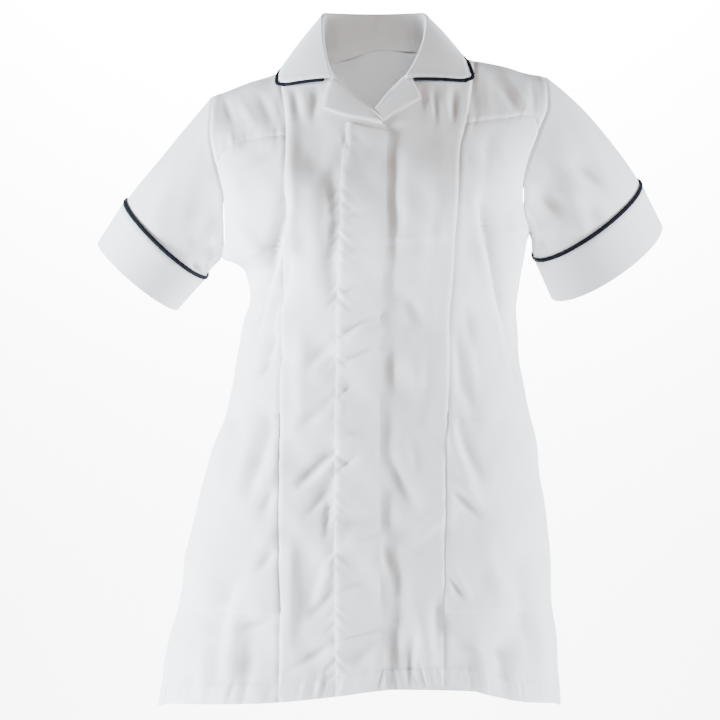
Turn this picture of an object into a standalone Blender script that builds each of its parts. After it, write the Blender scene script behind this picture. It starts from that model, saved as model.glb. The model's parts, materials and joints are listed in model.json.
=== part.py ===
"""A white short-sleeved medical blouse with navy piping, cut and hung as a worn garment.

The cloth keeps its worn form with nothing inside it.  Sizes are in metres, +Z is up, the front
faces -Y and the wearer's left is +X.  The origin lies between the two neck points, where the
shoulders carry the garment.  Every panel of the trunk is a patch of one body surface, so that
neighbours meet along one seam line.
"""

import math

import bmesh
import bpy
import numpy as np

# Cloth and seams
CLOTH = 0.0012
BAND_CLOTH = 0.0016
SEAM_GAP = 0.0003
LAYER = CLOTH + SEAM_GAP
PIPING_RADIUS = 0.0022
COLLAR_FOLD = 0.0018

# Shoulders and neck
SHOULDER_START = 0.050
SHOULDER_FALL = 0.27
NAPE_LIFT = 0.039
NAPE_WIDTH = 0.045
NAPE_FADE = 0.060
NECK_POINT_RIGHT = -0.064
NECK_POINT_LEFT = 0.056
NECK_DIP = 0.020

# Bust
BUST_LEVEL = -0.183
BUST_APART = 0.088
BUST_WIDTH = 0.045
BUST_HEIGHT = 0.060
BUST_RISE = 0.010

# Levels and heights of the lines that cross the panels
ARMPIT_LEVEL = -0.2155
ARMPIT_BLEND = 0.004
BACK_YOKE_LEVEL = -0.085
POCKET_BOTTOM = -0.618
HEM_BACK = -0.730
HEM_TURN = 2.2
BREAK_AT_EDGE = -0.0968
BREAK_AT_STITCH = -0.0862
BREAK_LEFT = -0.0950

# Front opening: how deep the left front dips under the right one, and where it starts to
UNDERLAP_DEPTH = 0.0029
UNDERLAP_MARGIN = 0.003
UNDERLAP_BLEND = 0.022

BAND_TOP_GAP = 0.002
POCKET_GAPE = 0.0035
POCKET_INSET = 0.003
POCKET_LIFT = LAYER + 0.0002

# The trunk's outline at each level: the sides seen from the front, the depths seen from the
# side, how square the section is, and how far the level tilts and follows the shoulder slope.
LEVEL_COLUMNS = ("level", "right", "left", "front", "back", "round", "tilt", "slope")
LEVELS = (
    (0.0000, -0.230, 0.226, 0.000, 0.000, 0.80, 0.060, 1.00),
    (-0.0100, -0.229, 0.226, -0.025, 0.040, 0.80, 0.061, 0.98),
    (-0.0300, -0.227, 0.226, -0.048, 0.065, 0.80, 0.062, 0.90),
    (-0.0550, -0.225, 0.221, -0.067, 0.082, 0.80, 0.065, 0.72),
    (-0.0880, -0.212, 0.203, -0.089, 0.094, 0.80, 0.068, 0.52),
    (-0.1180, -0.196, 0.186, -0.106, 0.101, 0.80, 0.072, 0.34),
    (-0.1540, -0.182, 0.170, -0.124, 0.105, 0.80, 0.076, 0.16),
    (-0.1900, -0.176, 0.1645, -0.132, 0.104, 0.80, 0.080, 0.05),
    (-0.2155, -0.177, 0.166, -0.133, 0.101, 0.80, 0.080, 0.00),
    (-0.2240, -0.160, 0.163, -0.132, 0.100, 0.81, 0.076, 0.00),
    (-0.2360, -0.149, 0.161, -0.131, 0.098, 0.82, 0.070, 0.00),
    (-0.2620, -0.1455, 0.157, -0.126, 0.094, 0.84, 0.055, 0.00),
    (-0.2950, -0.153, 0.1515, -0.122, 0.091, 0.86, 0.040, 0.00),
    (-0.3340, -0.158, 0.1557, -0.120, 0.091, 0.86, 0.025, 0.00),
    (-0.3670, -0.1635, 0.160, -0.120, 0.094, 0.86, 0.012, 0.00),
    (-0.4120, -0.1747, 0.168, -0.123, 0.102, 0.85, 0.000, 0.00),
    (-0.4460, -0.187, 0.1747, -0.126, 0.109, 0.85, 0.000, 0.00),
    (-0.4900, -0.2005, 0.1815, -0.129, 0.116, 0.84, 0.000, 0.00),
    (-0.5580, -0.215, 0.1893, -0.134, 0.124, 0.84, 0.000, 0.00),
    (-0.6140, -0.225, 0.1926, -0.137, 0.129, 0.84, 0.000, 0.00),
    (-0.7030, -0.2442, 0.1994, -0.141, 0.134, 0.84, 0.000, 0.00),
    (-0.7290, -0.2486, 0.2005, -0.142, 0.136, 0.84, 0.000, 0.00),
)

# Seams of the front, as seen from the front: height, then distance to the wearer's left.
PRINCESS_RIGHT = (
    (-0.0200, -0.1110), (-0.0420, -0.1100), (-0.0790, -0.1045), (-0.1290, -0.1035),
    (-0.1730, -0.1060), (-0.2800, -0.1080), (-0.3880, -0.1097), (-0.4950, -0.1105),
    (-0.5620, -0.1109), (-0.6080, -0.1085), (-0.6750, -0.1100), (-0.7100, -0.1095),
)
PRINCESS_LEFT = (
    (-0.0060, 0.1060), (-0.0396, 0.1020), (-0.0834, 0.0942), (-0.1179, 0.0860),
    (-0.1626, 0.0838), (-0.2268, 0.0797), (-0.2910, 0.0756), (-0.3620, 0.0742),
    (-0.4418, 0.0712), (-0.6023, 0.0687), (-0.7000, 0.0676),
)
# The right front's edge: up the placket, then along the revers' roll line to the neck point.
FRONT_EDGE_RIGHT = (
    (0.0000, -0.0640), (-0.0200, -0.0560), (-0.0398, -0.0444), (-0.0770, -0.0060),
    (-0.0866, 0.0030), (-0.0968, 0.0075), (-0.1390, 0.0062), (-0.2140, 0.0045),
    (-0.2675, 0.0008), (-0.3310, -0.0013), (-0.4075, -0.0013), (-0.5135, -0.0004),
    (-0.6075, -0.0004), (-0.6706, 0.0028), (-0.7000, 0.0060),
)
# The left front's edge: the underlap, then its roll line to the neck point.
FRONT_EDGE_LEFT = (
    (0.0000, 0.0560), (-0.0160, 0.0440), (-0.0290, 0.0320), (-0.0500, 0.0130),
    (-0.0725, -0.0039), (-0.0920, -0.0240), (-0.1050, -0.0300), (-0.7000, -0.0300),
)
# The placket's stitched edge, and above the break the middle of the right front.
PLACKET_STITCH = (
    (0.0000, -0.0900), (-0.0300, -0.0720), (-0.0600, -0.0500), (-0.0838, -0.0360),
    (-0.1350, -0.0418), (-0.2120, -0.0439), (-0.2550, -0.0461), (-0.3080, -0.0472),
    (-0.3960, -0.0482), (-0.5130, -0.0492), (-0.6400, -0.0481), (-0.7000, -0.0475),
)
# Yoke seams: share of the way from princess seam to armhole, then height.
YOKE_RIGHT = (
    (0.00, -0.0985), (0.30, -0.1010), (0.55, -0.1060), (0.75, -0.1130), (0.90, -0.1240),
    (1.00, -0.1330),
)
YOKE_LEFT = (
    (0.00, -0.0857), (0.25, -0.0815), (0.45, -0.0797), (0.68, -0.0757), (0.82, -0.0779),
    (1.00, -0.0930),
)
# The hem of the front: distance to the wearer's left, then height.
HEM_FRONT = (
    (-0.2486, -0.7285), (-0.2300, -0.7215), (-0.1100, -0.7124), (-0.0566, -0.7065),
    (0.0060, -0.6984), (0.0420, -0.6975), (0.0687, -0.6955), (0.0923, -0.6994),
    (0.1130, -0.7055), (0.1530, -0.7160), (0.1900, -0.7225), (0.2005, -0.7285),
)
# Armholes: height, then distance to the side of the front edge and of the back edge.
ARMHOLE_RIGHT = (
    (-0.0480, -0.1870, -0.1870), (-0.0700, -0.1880, -0.1885), (-0.0930, -0.1876, -0.1890),
    (-0.1210, -0.1828, -0.1870), (-0.1445, -0.1773, -0.1835), (-0.1736, -0.1724, -0.1770),
    (-0.1950, -0.1718, -0.1745), (-0.2160, -0.1740, -0.1750), (-0.2296, -0.1765, -0.1765),
)
ARMHOLE_LEFT = (
    (-0.0260, 0.1840, 0.1840), (-0.0400, 0.1860, 0.1865), (-0.0630, 0.1850, 0.1870),
    (-0.0870, 0.1763, 0.1840), (-0.1060, 0.1697, 0.1780), (-0.1320, 0.1609, 0.1690),
    (-0.1520, 0.1576, 0.1640), (-0.1800, 0.1587, 0.1615), (-0.2016, 0.1658, 0.1658),
)
# Side seams: level, then degrees forward of the exact side.
SIDE_SEAM = ((-0.2155, 0.0), (-0.3300, 6.0), (-0.5000, 12.0), (-0.7300, 17.0))

# Pocket mouths: share of the way from princess seam to side seam, then height.
POCKET_RIGHT = ((0.00, -0.402), (0.15, -0.405), (0.35, -0.411), (0.60, -0.428), (1.00, -0.465))
POCKET_LEFT = ((0.00, -0.401), (0.16, -0.411), (0.30, -0.414), (0.48, -0.427), (1.00, -0.470))

# Folds of the trunk: which face, three points (distance to the left, height) that lead it,
# half of its width, and its rise (troughs are negative).
FOLD_STEPS = 25
FOLD_ENDS = 0.12
FOLDS = (
    ("front", (-0.105, -0.158), (-0.113, -0.235), (-0.149, -0.320), 0.0085, -0.0060),
    ("front", (-0.101, -0.233), (-0.104, -0.280), (-0.132, -0.325), 0.0070, -0.0040),
    ("front", (-0.101, -0.195), (-0.121, -0.262), (-0.144, -0.322), 0.0080, 0.0035),
    ("front", (-0.105, -0.338), (-0.112, -0.346), (-0.120, -0.358), 0.0060, -0.0025),
    ("front", (0.109, -0.172), (0.128, -0.250), (0.163, -0.376), 0.0100, -0.0085),
    ("front", (0.102, -0.172), (0.110, -0.230), (0.122, -0.282), 0.0080, 0.0040),
    ("front", (0.093, -0.290), (0.096, -0.305), (0.100, -0.325), 0.0060, -0.0025),
    ("front", (0.095, -0.360), (0.097, -0.385), (0.100, -0.408), 0.0100, -0.0040),
    ("front", (0.082, -0.408), (0.092, -0.445), (0.111, -0.476), 0.0080, -0.0045),
    ("front", (0.076, -0.423), (0.084, -0.458), (0.100, -0.490), 0.0075, 0.0035),
    ("front", (-0.118, -0.410), (-0.128, -0.450), (-0.146, -0.490), 0.0090, -0.0040),
    ("front", (-0.150, -0.672), (-0.105, -0.668), (-0.056, -0.645), 0.0140, -0.0030),
    ("front", (-0.078, -0.540), (-0.076, -0.590), (-0.080, -0.640), 0.0180, -0.0030),
    ("front", (0.025, -0.205), (0.030, -0.300), (0.022, -0.380), 0.0160, -0.0025),
    ("front", (0.150, -0.610), (0.135, -0.660), (0.128, -0.718), 0.0150, -0.0035),
    ("back", (-0.120, -0.150), (-0.118, -0.230), (-0.085, -0.330), 0.0120, -0.0055),
    ("back", (0.112, -0.140), (0.112, -0.220), (0.070, -0.335), 0.0110, -0.0060),
    ("back", (-0.145, -0.300), (-0.080, -0.335), (-0.020, -0.338), 0.0090, -0.0040),
    ("back", (0.138, -0.290), (0.085, -0.318), (0.030, -0.312), 0.0080, -0.0035),
    ("back", (-0.060, -0.420), (-0.075, -0.550), (-0.110, -0.700), 0.0220, -0.0060),
    ("back", (0.058, -0.430), (0.064, -0.560), (0.090, -0.705), 0.0200, -0.0055),
    ("back", (0.004, -0.480), (-0.004, -0.600), (-0.010, -0.715), 0.0240, 0.0050),
)

# Sleeve rings, from the piping line to the hem: centre, half width seen from the front, half
# depth, slope of the long way below level, slope of the ring's own cut, and backward turn.
RING_COLUMNS = ("x", "y", "z", "across", "deep", "slope", "cut", "turn")
SLEEVE_RIGHT = (
    (-0.2419, 0.012, -0.2106, 0.0610, 0.056, 52.0, 46.0, 10.0),
    (-0.2722, 0.020, -0.2498, 0.0570, 0.055, 52.0, 49.0, 9.0),
)
SLEEVE_LEFT = (
    (0.2345, 0.020, -0.1895, 0.0720, 0.062, 57.0, 53.3, 16.0),
    (0.2560, 0.032, -0.2330, 0.0730, 0.064, 60.0, 54.6, 18.0),
)
CAP_BULGE = {"right": 0.02, "left": 0.26}
# Sleeve folds: turn round the sleeve from its top (front at 90), reach along it from armhole
# to piping line, half widths of both, and rise.
SLEEVE_FOLDS_RIGHT = (
    (150.0, 0.55, 22.0, 0.30, -0.0040),
    (118.0, 0.30, 14.0, 0.25, 0.0020),
    (235.0, 0.45, 20.0, 0.30, -0.0050),
    (290.0, 0.35, 16.0, 0.22, -0.0030),
)
SLEEVE_FOLDS_LEFT = (
    (104.0, 0.38, 15.0, 0.20, -0.0060),
    (76.0, 0.48, 11.0, 0.20, 0.0040),
    (62.0, 0.52, 10.0, 0.16, -0.0035),
    (230.0, 0.45, 20.0, 0.30, -0.0060),
    (285.0, 0.38, 15.0, 0.22, -0.0035),
)

# Collar, from the middle of the back to its front end.  Each row: shift of the roll line's
# middle; the roll line (side, y, z); the neck seam (share of the way to the neck point across
# the back, then level down the front's edge); the outer edge on the trunk (side, and how far
# below the shoulder line, negative on the front), and how far that edge ignores the tilt.
COLLAR_COLUMNS = (
    "shift", "roll_x", "roll_y", "roll_z", "seam_share", "seam_level",
    "edge_shift", "edge_x", "edge_reach", "even",
)
COLLAR = (
    (-0.0060, 0.0000, 0.056, 0.0485, 0.00, 0.000, -0.0060, 0.000, 0.040, 0.0),
    (-0.0062, 0.0205, 0.053, 0.0485, 0.36, 0.000, -0.0065, 0.030, 0.034, 0.0),
    (-0.0066, 0.0408, 0.043, 0.0480, 0.70, 0.000, -0.0080, 0.062, 0.022, 0.0),
    (-0.0068, 0.0542, 0.026, 0.0465, 0.93, 0.000, -0.0095, 0.085, 0.010, 0.0),
    (-0.0062, 0.0580, 0.004, 0.0390, 1.00, 0.000, -0.0095, 0.099, -0.001, 0.1),
    (-0.0074, 0.0560, -0.018, 0.0150, 1.00, -0.010, -0.0080, 0.105, -0.0115, 0.5),
    (-0.0100, 0.0480, -0.043, -0.0150, 1.00, -0.022, -0.0064, 0.107, -0.0226, 0.9),
    (-0.0130, 0.0400, -0.058, -0.0342, 1.00, -0.034, -0.0056, 0.101, -0.0280, 1.0),
)
COLLAR_TILT = 0.060
COLLAR_BULGE = 0.0035
COLLAR_EDGE_LIFT = 0.0044
COLLAR_SEAM_LIFT = 0.0017
PIPING_GAP = 0.0008
PIPING_STEP = PIPING_RADIUS + PIPING_GAP
NOTCH_SHARE = 0.14

# Revers, from the notch through the tip to the break: height on the roll line, then the outer
# edge (distance to the left, height).
LAPEL_COLUMNS = ("roll_z", "edge_x", "edge_z")
LAPEL_RIGHT = (
    (-0.0425, -0.0578, -0.0418),
    (-0.0500, -0.0620, -0.0560),
    (-0.0605, -0.0640, -0.0710),
    (-0.0695, -0.0420, -0.0795),
    (-0.0795, -0.0160, -0.0855),
    (-0.0860, 0.0010, -0.0895),
)
LAPEL_LEFT = (
    (-0.0385, 0.0362, -0.0408),
    (-0.0440, 0.0405, -0.0490),
    (-0.0500, 0.0450, -0.0605),
    (-0.0560, 0.0290, -0.0700),
    (-0.0630, 0.0180, -0.0765),
    (-0.0700, 0.0095, -0.0825),
)
LAPEL_LIFT = 0.0032
LAPEL_PUFF = 0.0006

# Fineness: rows from hem to pocket, to its mouth, to the armpit, to the yoke, to the shoulder
ROWS = (3, 6, 7, 5, 7)
ROW_EASE = (1.0, 1.0, 0.75, 2.0, 0.85)
PLACKET_COLUMNS = 2
FRONT_COLUMNS = 5
LEFT_FRONT_COLUMNS = 7
SIDE_COLUMNS = 7
BACK_COLUMNS = (6, 6, 6)
SLEEVE_ROWS = 8
CUFF_ROWS = 3
STAND_POINTS = 3
ROLL_POINTS = 4
FALL_POINTS = 5
COLLAR_STATIONS = 16
LAPEL_TURN = 3
LAPEL_ACROSS = 4
TUBE_SIDES = 6

WHITE = (0.87, 0.89, 0.93, 1.0)
NAVY = (0.010, 0.012, 0.035, 1.0)
CLOTH_ROUGHNESS = 0.85
PIPING_ROUGHNESS = 0.60


def through(rows, column, at):
    """A smooth curve through one column of a table, which never overshoots the rows."""
    table = np.array(rows, float)
    table = table[np.argsort(table[:, 0])]
    knots = table[:, 0]
    values = table[:, column]
    steps = np.diff(knots)
    slopes = np.diff(values) / steps
    product = slopes[:-1] * slopes[1:]
    total = slopes[:-1] + slopes[1:]
    tangents = np.zeros_like(values)
    tangents[1:-1] = np.where(product > 0, 2 * product / np.where(total == 0, 1, total), 0)
    tangents[0] = slopes[0]
    tangents[-1] = slopes[-1]
    at = np.asarray(at, float)
    i = np.clip(np.searchsorted(knots, at) - 1, 0, len(steps) - 1)
    t = np.clip((at - knots[i]) / steps[i], 0, 1)
    start = (1 + 2 * t) * (1 - t) ** 2 * values[i] + t * (1 - t) ** 2 * tangents[i] * steps[i]
    end = t * t * (3 - 2 * t) * values[i + 1] + t * t * (t - 1) * tangents[i + 1] * steps[i]
    return start + end


def level_value(name, level):
    """One column of the trunk's table at any level."""
    return through(LEVELS, LEVEL_COLUMNS.index(name), level)


def unit(vectors):
    """Vectors scaled to length one."""
    length = np.linalg.norm(vectors, axis=-1, keepdims=True)
    return vectors / np.maximum(length, 1e-12)


def shoulder_drop(side):
    """How far the shoulder line falls at this distance from the middle."""
    past = np.abs(side) - SHOULDER_START
    return -SHOULDER_FALL * (np.sqrt(past**2 + 0.0001) + past) / 2


def plain_body(angle, level):
    """The trunk without folds.  Angle 0 is the wearer's left side and 90 degrees the front."""
    right = level_value("right", level)
    left = level_value("left", level)
    power = level_value("round", level)
    half = (left - right) / 2
    middle = (left + right) / 2
    cosine = np.cos(angle)
    sine = np.sin(angle)
    side = half * np.sign(cosine) * np.abs(cosine) ** power
    x = middle + side
    front = sine > 0
    deep = np.abs(sine) ** power
    y = np.where(front, level_value("front", level), level_value("back", level)) * deep
    apart = (np.abs(side) - BUST_APART) / BUST_WIDTH
    along = (level - BUST_LEVEL) / BUST_HEIGHT
    y = y - np.where(front, BUST_RISE * deep, 0) * np.exp(-(apart**2) - along**2)
    lift = NAPE_LIFT * np.exp(level / NAPE_FADE - (side / NAPE_WIDTH) ** 2)
    lift = np.where(front, 0, lift * np.abs(sine) ** 3 * np.minimum(1, -level / 0.012))
    z = level + level_value("tilt", level) * x + lift
    z = z + level_value("slope", level) * shoulder_drop(side)
    return np.stack([x, y, z], axis=-1)


def surface_normal(surface, angle, level):
    """Outward normal of a surface given by angle and level."""
    step = 0.0008
    around = surface(angle + step, level) - surface(angle - step, level)
    upper = np.minimum(level + step, -0.0001)
    along = surface(angle, upper) - surface(angle, upper - step)
    none = np.zeros_like(level)
    ridge = np.stack([none, np.where(np.sin(angle) > 0, 1.0, -1.0), none], -1)
    along = np.where((level > -0.0005)[..., None], ridge, unit(along))
    return unit(np.cross(along, around))


def fold_rise(point, front):
    """Rise of all the trunk's folds at a point."""
    total = np.zeros(point.shape[:-1])
    for face, start, lead, end, width, rise in FOLDS:
        nearest = np.full(total.shape, np.inf)
        place = np.zeros(total.shape)
        for share in np.linspace(0, 1, FOLD_STEPS):
            weights = (1 - share) ** 2, 2 * share * (1 - share), share**2
            x, z = np.dot(weights, [start, lead, end])
            distance = np.hypot(point[..., 0] - x, point[..., 2] - z)
            place = np.where(distance < nearest, share, place)
            nearest = np.minimum(nearest, distance)
        taper = np.sin(np.pi * (FOLD_ENDS + (1 - 2 * FOLD_ENDS) * place))
        here = front if face == "front" else ~front
        total = total + np.where(here, rise * taper * np.exp(-((nearest / width) ** 2)), 0)
    return total


def body(angle, level):
    """The trunk with its folds."""
    angle, level = np.broadcast_arrays(np.asarray(angle, float), np.asarray(level, float))
    point = plain_body(angle, level)
    rise = fold_rise(point, np.sin(angle) > 0)
    return point + surface_normal(plain_body, angle, level) * rise[..., None]


def body_with_normal(angle, level):
    """Points of the trunk and the normals there."""
    angle, level = np.broadcast_arrays(np.asarray(angle, float), np.asarray(level, float))
    return body(angle, level), surface_normal(body, angle, level)


def find_front(x, z):
    """Angle and level of the front's point that is seen at x and z."""
    x, z = np.broadcast_arrays(np.asarray(x, float), np.asarray(z, float))
    level = np.minimum(z, 0.0)
    for _ in range(30):
        middle = (level_value("left", level) + level_value("right", level)) / 2
        tilt = level_value("tilt", level) * x
        level = z - tilt - level_value("slope", level) * shoulder_drop(x - middle)
        level = np.minimum(level, 0.0)
    return angle_at(x, level), level


def angle_at(x, level):
    """Angle of the front's point at x on this level."""
    right = level_value("right", level)
    left = level_value("left", level)
    share = np.clip((x - (left + right) / 2) / ((left - right) / 2), -1, 1)
    return np.arccos(np.sign(share) * np.abs(share) ** (1 / level_value("round", level)))


def seam_angle(rows, column, samples=60):
    """A seam given by height and x, as a function from level to angle."""
    heights = np.linspace(rows[-1][0], rows[0][0], samples)
    angles, levels = find_front(through(rows, column, heights), heights)
    order = np.argsort(levels)
    return lambda level: np.interp(level, levels[order], angles[order])


def side_edge(hand, armhole, column):
    """The outer edge of a side panel: side seam below the armpit, armhole above it."""
    arm = seam_angle(armhole, column, 160)
    exact_side = 0.0 if hand == "left" else math.pi

    def edge(level):
        forward = np.radians(through(SIDE_SEAM, 1, level))
        seam = exact_side + forward * (1 if hand == "left" else -1)
        above = np.clip((level - ARMPIT_LEVEL) / ARMPIT_BLEND, 0, 1)
        return seam * (1 - above) + arm(level) * above

    return edge


def hem_level(angle):
    """Level of the hem at this angle."""
    x = plain_body(angle, np.full_like(angle, HEM_BACK))[..., 0]
    front = through(HEM_FRONT, 1, x)
    share = np.clip(0.5 + HEM_TURN * np.sin(angle), 0, 1)
    return HEM_BACK + (front - HEM_BACK) * share


def bands(lines, first_band=0):
    """Levels between lines that cross a panel, the same share of the way in each column."""
    rows = [lines[0]]
    spans = zip(lines[:-1], lines[1:], ROWS[first_band:], ROW_EASE[first_band:])
    for low, high, count, ease in spans:
        rows += [low + (high - low) * (step / count) ** ease for step in range(1, count + 1)]
    return np.array(rows)


def trim(points, bottom=True, top=True, first=True, last=True, gap=SEAM_GAP):
    """Draw a grid's edges in by half a seam gap."""
    points = points.copy()
    half = 0.55 * gap
    if bottom:
        points[0] += unit(points[1] - points[0]) * half
    if top:
        points[-1] += unit(points[-2] - points[-1]) * half
    if first:
        points[:, 0] += unit(points[:, 1] - points[:, 0]) * half
    if last:
        points[:, -1] += unit(points[:, -2] - points[:, -1]) * half
    return points


def grid_normals(points, ring=False):
    """Normals of a grid of points from its own rows and columns."""
    along = np.gradient(points, axis=0)
    if ring:
        around = np.roll(points, -1, axis=1) - np.roll(points, 1, axis=1)
    else:
        around = np.gradient(points, axis=1)
    return unit(np.cross(unit(along), unit(around)))


def cloth_material(name, colour, roughness):
    """A plain Principled material for one piece."""
    material = bpy.data.materials.new(name)
    material.use_nodes = True
    shader = material.node_tree.nodes["Principled BSDF"]
    shader.inputs["Base Color"].default_value = colour
    shader.inputs["Roughness"].default_value = roughness
    shader.inputs["Metallic"].default_value = 0.0
    return material


def add_piece(name, vertices, faces, colour=WHITE, roughness=CLOTH_ROUGHNESS):
    """One named object with outward faces and its own material."""
    mesh = bpy.data.meshes.new(name)
    mesh.from_pydata([tuple(v) for v in vertices], [], faces)
    work = bmesh.new()
    work.from_mesh(mesh)
    bmesh.ops.recalc_face_normals(work, faces=work.faces)
    work.to_mesh(mesh)
    work.free()
    mesh.shade_smooth()
    mesh.set_sharp_from_angle(angle=math.radians(50))
    piece = bpy.data.objects.new(name, mesh)
    bpy.context.scene.collection.objects.link(piece)
    piece.data.materials.append(cloth_material(name, colour, roughness))
    return piece


def wall(name, points, normals, thickness=CLOTH, ring=False):
    """A closed wall of even thickness round a grid of points."""
    rows, columns = points.shape[:2]
    outer = (points + normals * thickness / 2).reshape(-1, 3)
    inner = (points - normals * thickness / 2).reshape(-1, 3)
    under = rows * columns
    last = columns if ring else columns - 1
    faces = []
    for row in range(rows - 1):
        for column in range(last):
            a = row * columns + column
            b = row * columns + (column + 1) % columns
            faces.append((a, b, b + columns, a + columns))
            faces.append((under + a, under + a + columns, under + b + columns, under + b))
    top = (rows - 1) * columns
    for column in range(last):
        after = (column + 1) % columns
        faces.append((column, under + column, under + after, after))
        faces.append((top + column, top + after, under + top + after, under + top + column))
    if not ring:
        for row in range(rows - 1):
            a = row * columns
            b = a + columns
            faces.append((a, b, under + b, under + a))
            a += columns - 1
            b += columns - 1
            faces.append((a, under + a, under + b, b))
    return add_piece(name, np.concatenate([outer, inner]), faces)


def tube(name, path, outward, radius, closed):
    """A round cord along a path, with each section square to it."""
    if closed:
        steps = unit(np.roll(path, -1, axis=0) - path)
        ahead = unit(steps + np.roll(steps, 1, axis=0))
    else:
        steps = unit(np.diff(path, axis=0))
        ahead = unit(np.concatenate([steps[:1], steps[:-1] + steps[1:], steps[-1:]]))
    outward = unit(outward - ahead * (outward * ahead).sum(-1, keepdims=True))
    across = np.cross(ahead, outward)
    vertices = []
    for centre, up, side in zip(path, outward, across):
        for step in range(TUBE_SIDES):
            turn = 2 * math.pi * step / TUBE_SIDES
            vertices.append(centre + radius * (math.cos(turn) * up + math.sin(turn) * side))
    faces = []
    rings = len(path)
    for ring in range(rings if closed else rings - 1):
        for step in range(TUBE_SIDES):
            a = ring * TUBE_SIDES + step
            b = ring * TUBE_SIDES + (step + 1) % TUBE_SIDES
            c = (b + TUBE_SIDES) % (rings * TUBE_SIDES)
            d = (a + TUBE_SIDES) % (rings * TUBE_SIDES)
            faces.append((a, b, c, d))
    if not closed:
        faces.append(tuple(range(TUBE_SIDES)))
        faces.append(tuple(range((rings - 1) * TUBE_SIDES, rings * TUBE_SIDES)))
    return add_piece(name, vertices, faces, NAVY, PIPING_ROUGHNESS)


def yoke_level(yoke, princess, edge):
    """The yoke seam as a function from share across to level."""
    shares = np.linspace(0, 1, 41)
    heights = through(yoke, 1, shares)
    levels = heights.copy()
    for _ in range(30):
        angles = princess(levels) * (1 - shares) + edge(levels) * shares
        levels = levels + heights - plain_body(angles, levels)[..., 2]
    return lambda share: np.interp(share, shares, levels)


def level_of(x, z):
    """Level of the front's point seen at x and z."""
    return float(find_front(x, z)[1])


def across(first, last, levels, share):
    """Angles across a panel, a share of the way between two seams."""
    return first(levels) * (1 - share) + last(levels) * share


def side_panels(hand, princess, edge, yoke, mouth):
    """Side front, pocket and yoke of one side.  Returns the armhole's points and normals."""
    share = np.linspace(0, 1, SIDE_COLUMNS + 1)
    seam = yoke_level(yoke, princess, edge)
    hem = hem_level(across(princess, edge, HEM_BACK, share))
    flat = np.ones_like(share)
    lines = [hem, flat * POCKET_BOTTOM, through(mouth, 1, share), flat * ARMPIT_LEVEL]
    levels = bands(lines + [seam(share)])
    points, normals = body_with_normal(across(princess, edge, levels, share), levels)
    wall(f"side_front_{hand}", trim(points, bottom=False), normals)
    low, high = ROWS[0], ROWS[0] + ROWS[1]
    height = np.linspace(0, 1, ROWS[1] + 1)[:, None]
    gape = POCKET_GAPE * height**4 * np.sin(np.pi * share) ** 0.8
    facing = normals[low : high + 1]
    patch = points[low : high + 1] + facing * (POCKET_LIFT + gape)[..., None]
    wall(f"pocket_{hand}", trim(patch, bottom=False, top=False, gap=POCKET_INSET), facing)
    levels = bands([seam(share), flat * 0.0], len(ROWS) - 1)
    upper, upper_normals = body_with_normal(across(princess, edge, levels, share), levels)
    wall(f"yoke_{hand}", trim(upper), upper_normals)
    armpit = sum(ROWS[:3])
    line = np.concatenate([upper[::-1, -1], points[armpit:-1, -1][::-1]])
    normal = np.concatenate([upper_normals[::-1, -1], normals[armpit:-1, -1][::-1]])
    return line, normal, float(seam(0.0))


def front_right(princess, yoke_at_princess, mouth):
    """The right front and, from its own points, the placket."""
    opening = seam_angle(FRONT_EDGE_RIGHT, 1, 240)
    stitch = seam_angle(PLACKET_STITCH, 1, 240)
    placket_share = np.linspace(0, 1, PLACKET_COLUMNS + 1)
    front_share = np.linspace(0, 1, FRONT_COLUMNS + 1)[1:]

    def angles_at(levels):
        band = across(opening, stitch, levels[..., : PLACKET_COLUMNS + 1], placket_share)
        rest = across(stitch, princess, levels[..., PLACKET_COLUMNS + 1 :], front_share)
        return np.concatenate([band, rest], axis=-1)

    flat = np.ones(PLACKET_COLUMNS + FRONT_COLUMNS + 1)
    corner = level_of(through(FRONT_EDGE_RIGHT, 1, BREAK_AT_EDGE), BREAK_AT_EDGE)
    at_stitch = level_of(through(PLACKET_STITCH, 1, BREAK_AT_STITCH), BREAK_AT_STITCH)
    break_line = corner + (at_stitch - corner) * placket_share
    yoke_line = at_stitch + (yoke_at_princess - at_stitch) * front_share
    turn = np.concatenate([break_line, yoke_line])
    lines = [hem_level(angles_at(flat * HEM_BACK)), flat * POCKET_BOTTOM, flat * mouth[0][1]]
    levels = bands(lines + [flat * ARMPIT_LEVEL, turn, flat * 0.0])
    points, normals = body_with_normal(angles_at(levels), levels)
    wall("front_right", trim(points, bottom=False, first=False), normals)
    rows = sum(ROWS[:4]) + 1
    lift = CLOTH / 2 + SEAM_GAP + BAND_CLOTH / 2
    facing = normals[:rows, : PLACKET_COLUMNS + 1]
    band = points[:rows, : PLACKET_COLUMNS + 1] + facing * lift
    band = trim(band, bottom=False, first=False, last=False, gap=BAND_TOP_GAP)
    wall("placket", band, facing, BAND_CLOTH)


def front_left(princess, yoke_at_princess, mouth):
    """The left front, which dips under the right one."""
    opening = seam_angle(FRONT_EDGE_LEFT, 1, 240)
    share = np.linspace(0, 1, LEFT_FRONT_COLUMNS + 1)
    flat = np.ones_like(share)
    corner = level_of(through(FRONT_EDGE_LEFT, 1, BREAK_LEFT), BREAK_LEFT)
    hem = hem_level(across(opening, princess, HEM_BACK, share))
    lines = [hem, flat * POCKET_BOTTOM, flat * mouth[0][1], flat * ARMPIT_LEVEL]
    levels = bands(lines + [corner + (yoke_at_princess - corner) * share, flat * 0.0])
    points, normals = body_with_normal(across(opening, princess, levels, share), levels)
    over = through(FRONT_EDGE_RIGHT, 1, points[..., 2]) + UNDERLAP_MARGIN + UNDERLAP_BLEND
    under = np.clip((over - points[..., 0]) / UNDERLAP_BLEND, 0, 1)
    points = points - normals * (UNDERLAP_DEPTH * under**2 * (3 - 2 * under))[..., None]
    wall("front_left", trim(points, bottom=False, first=False), normals)


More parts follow.
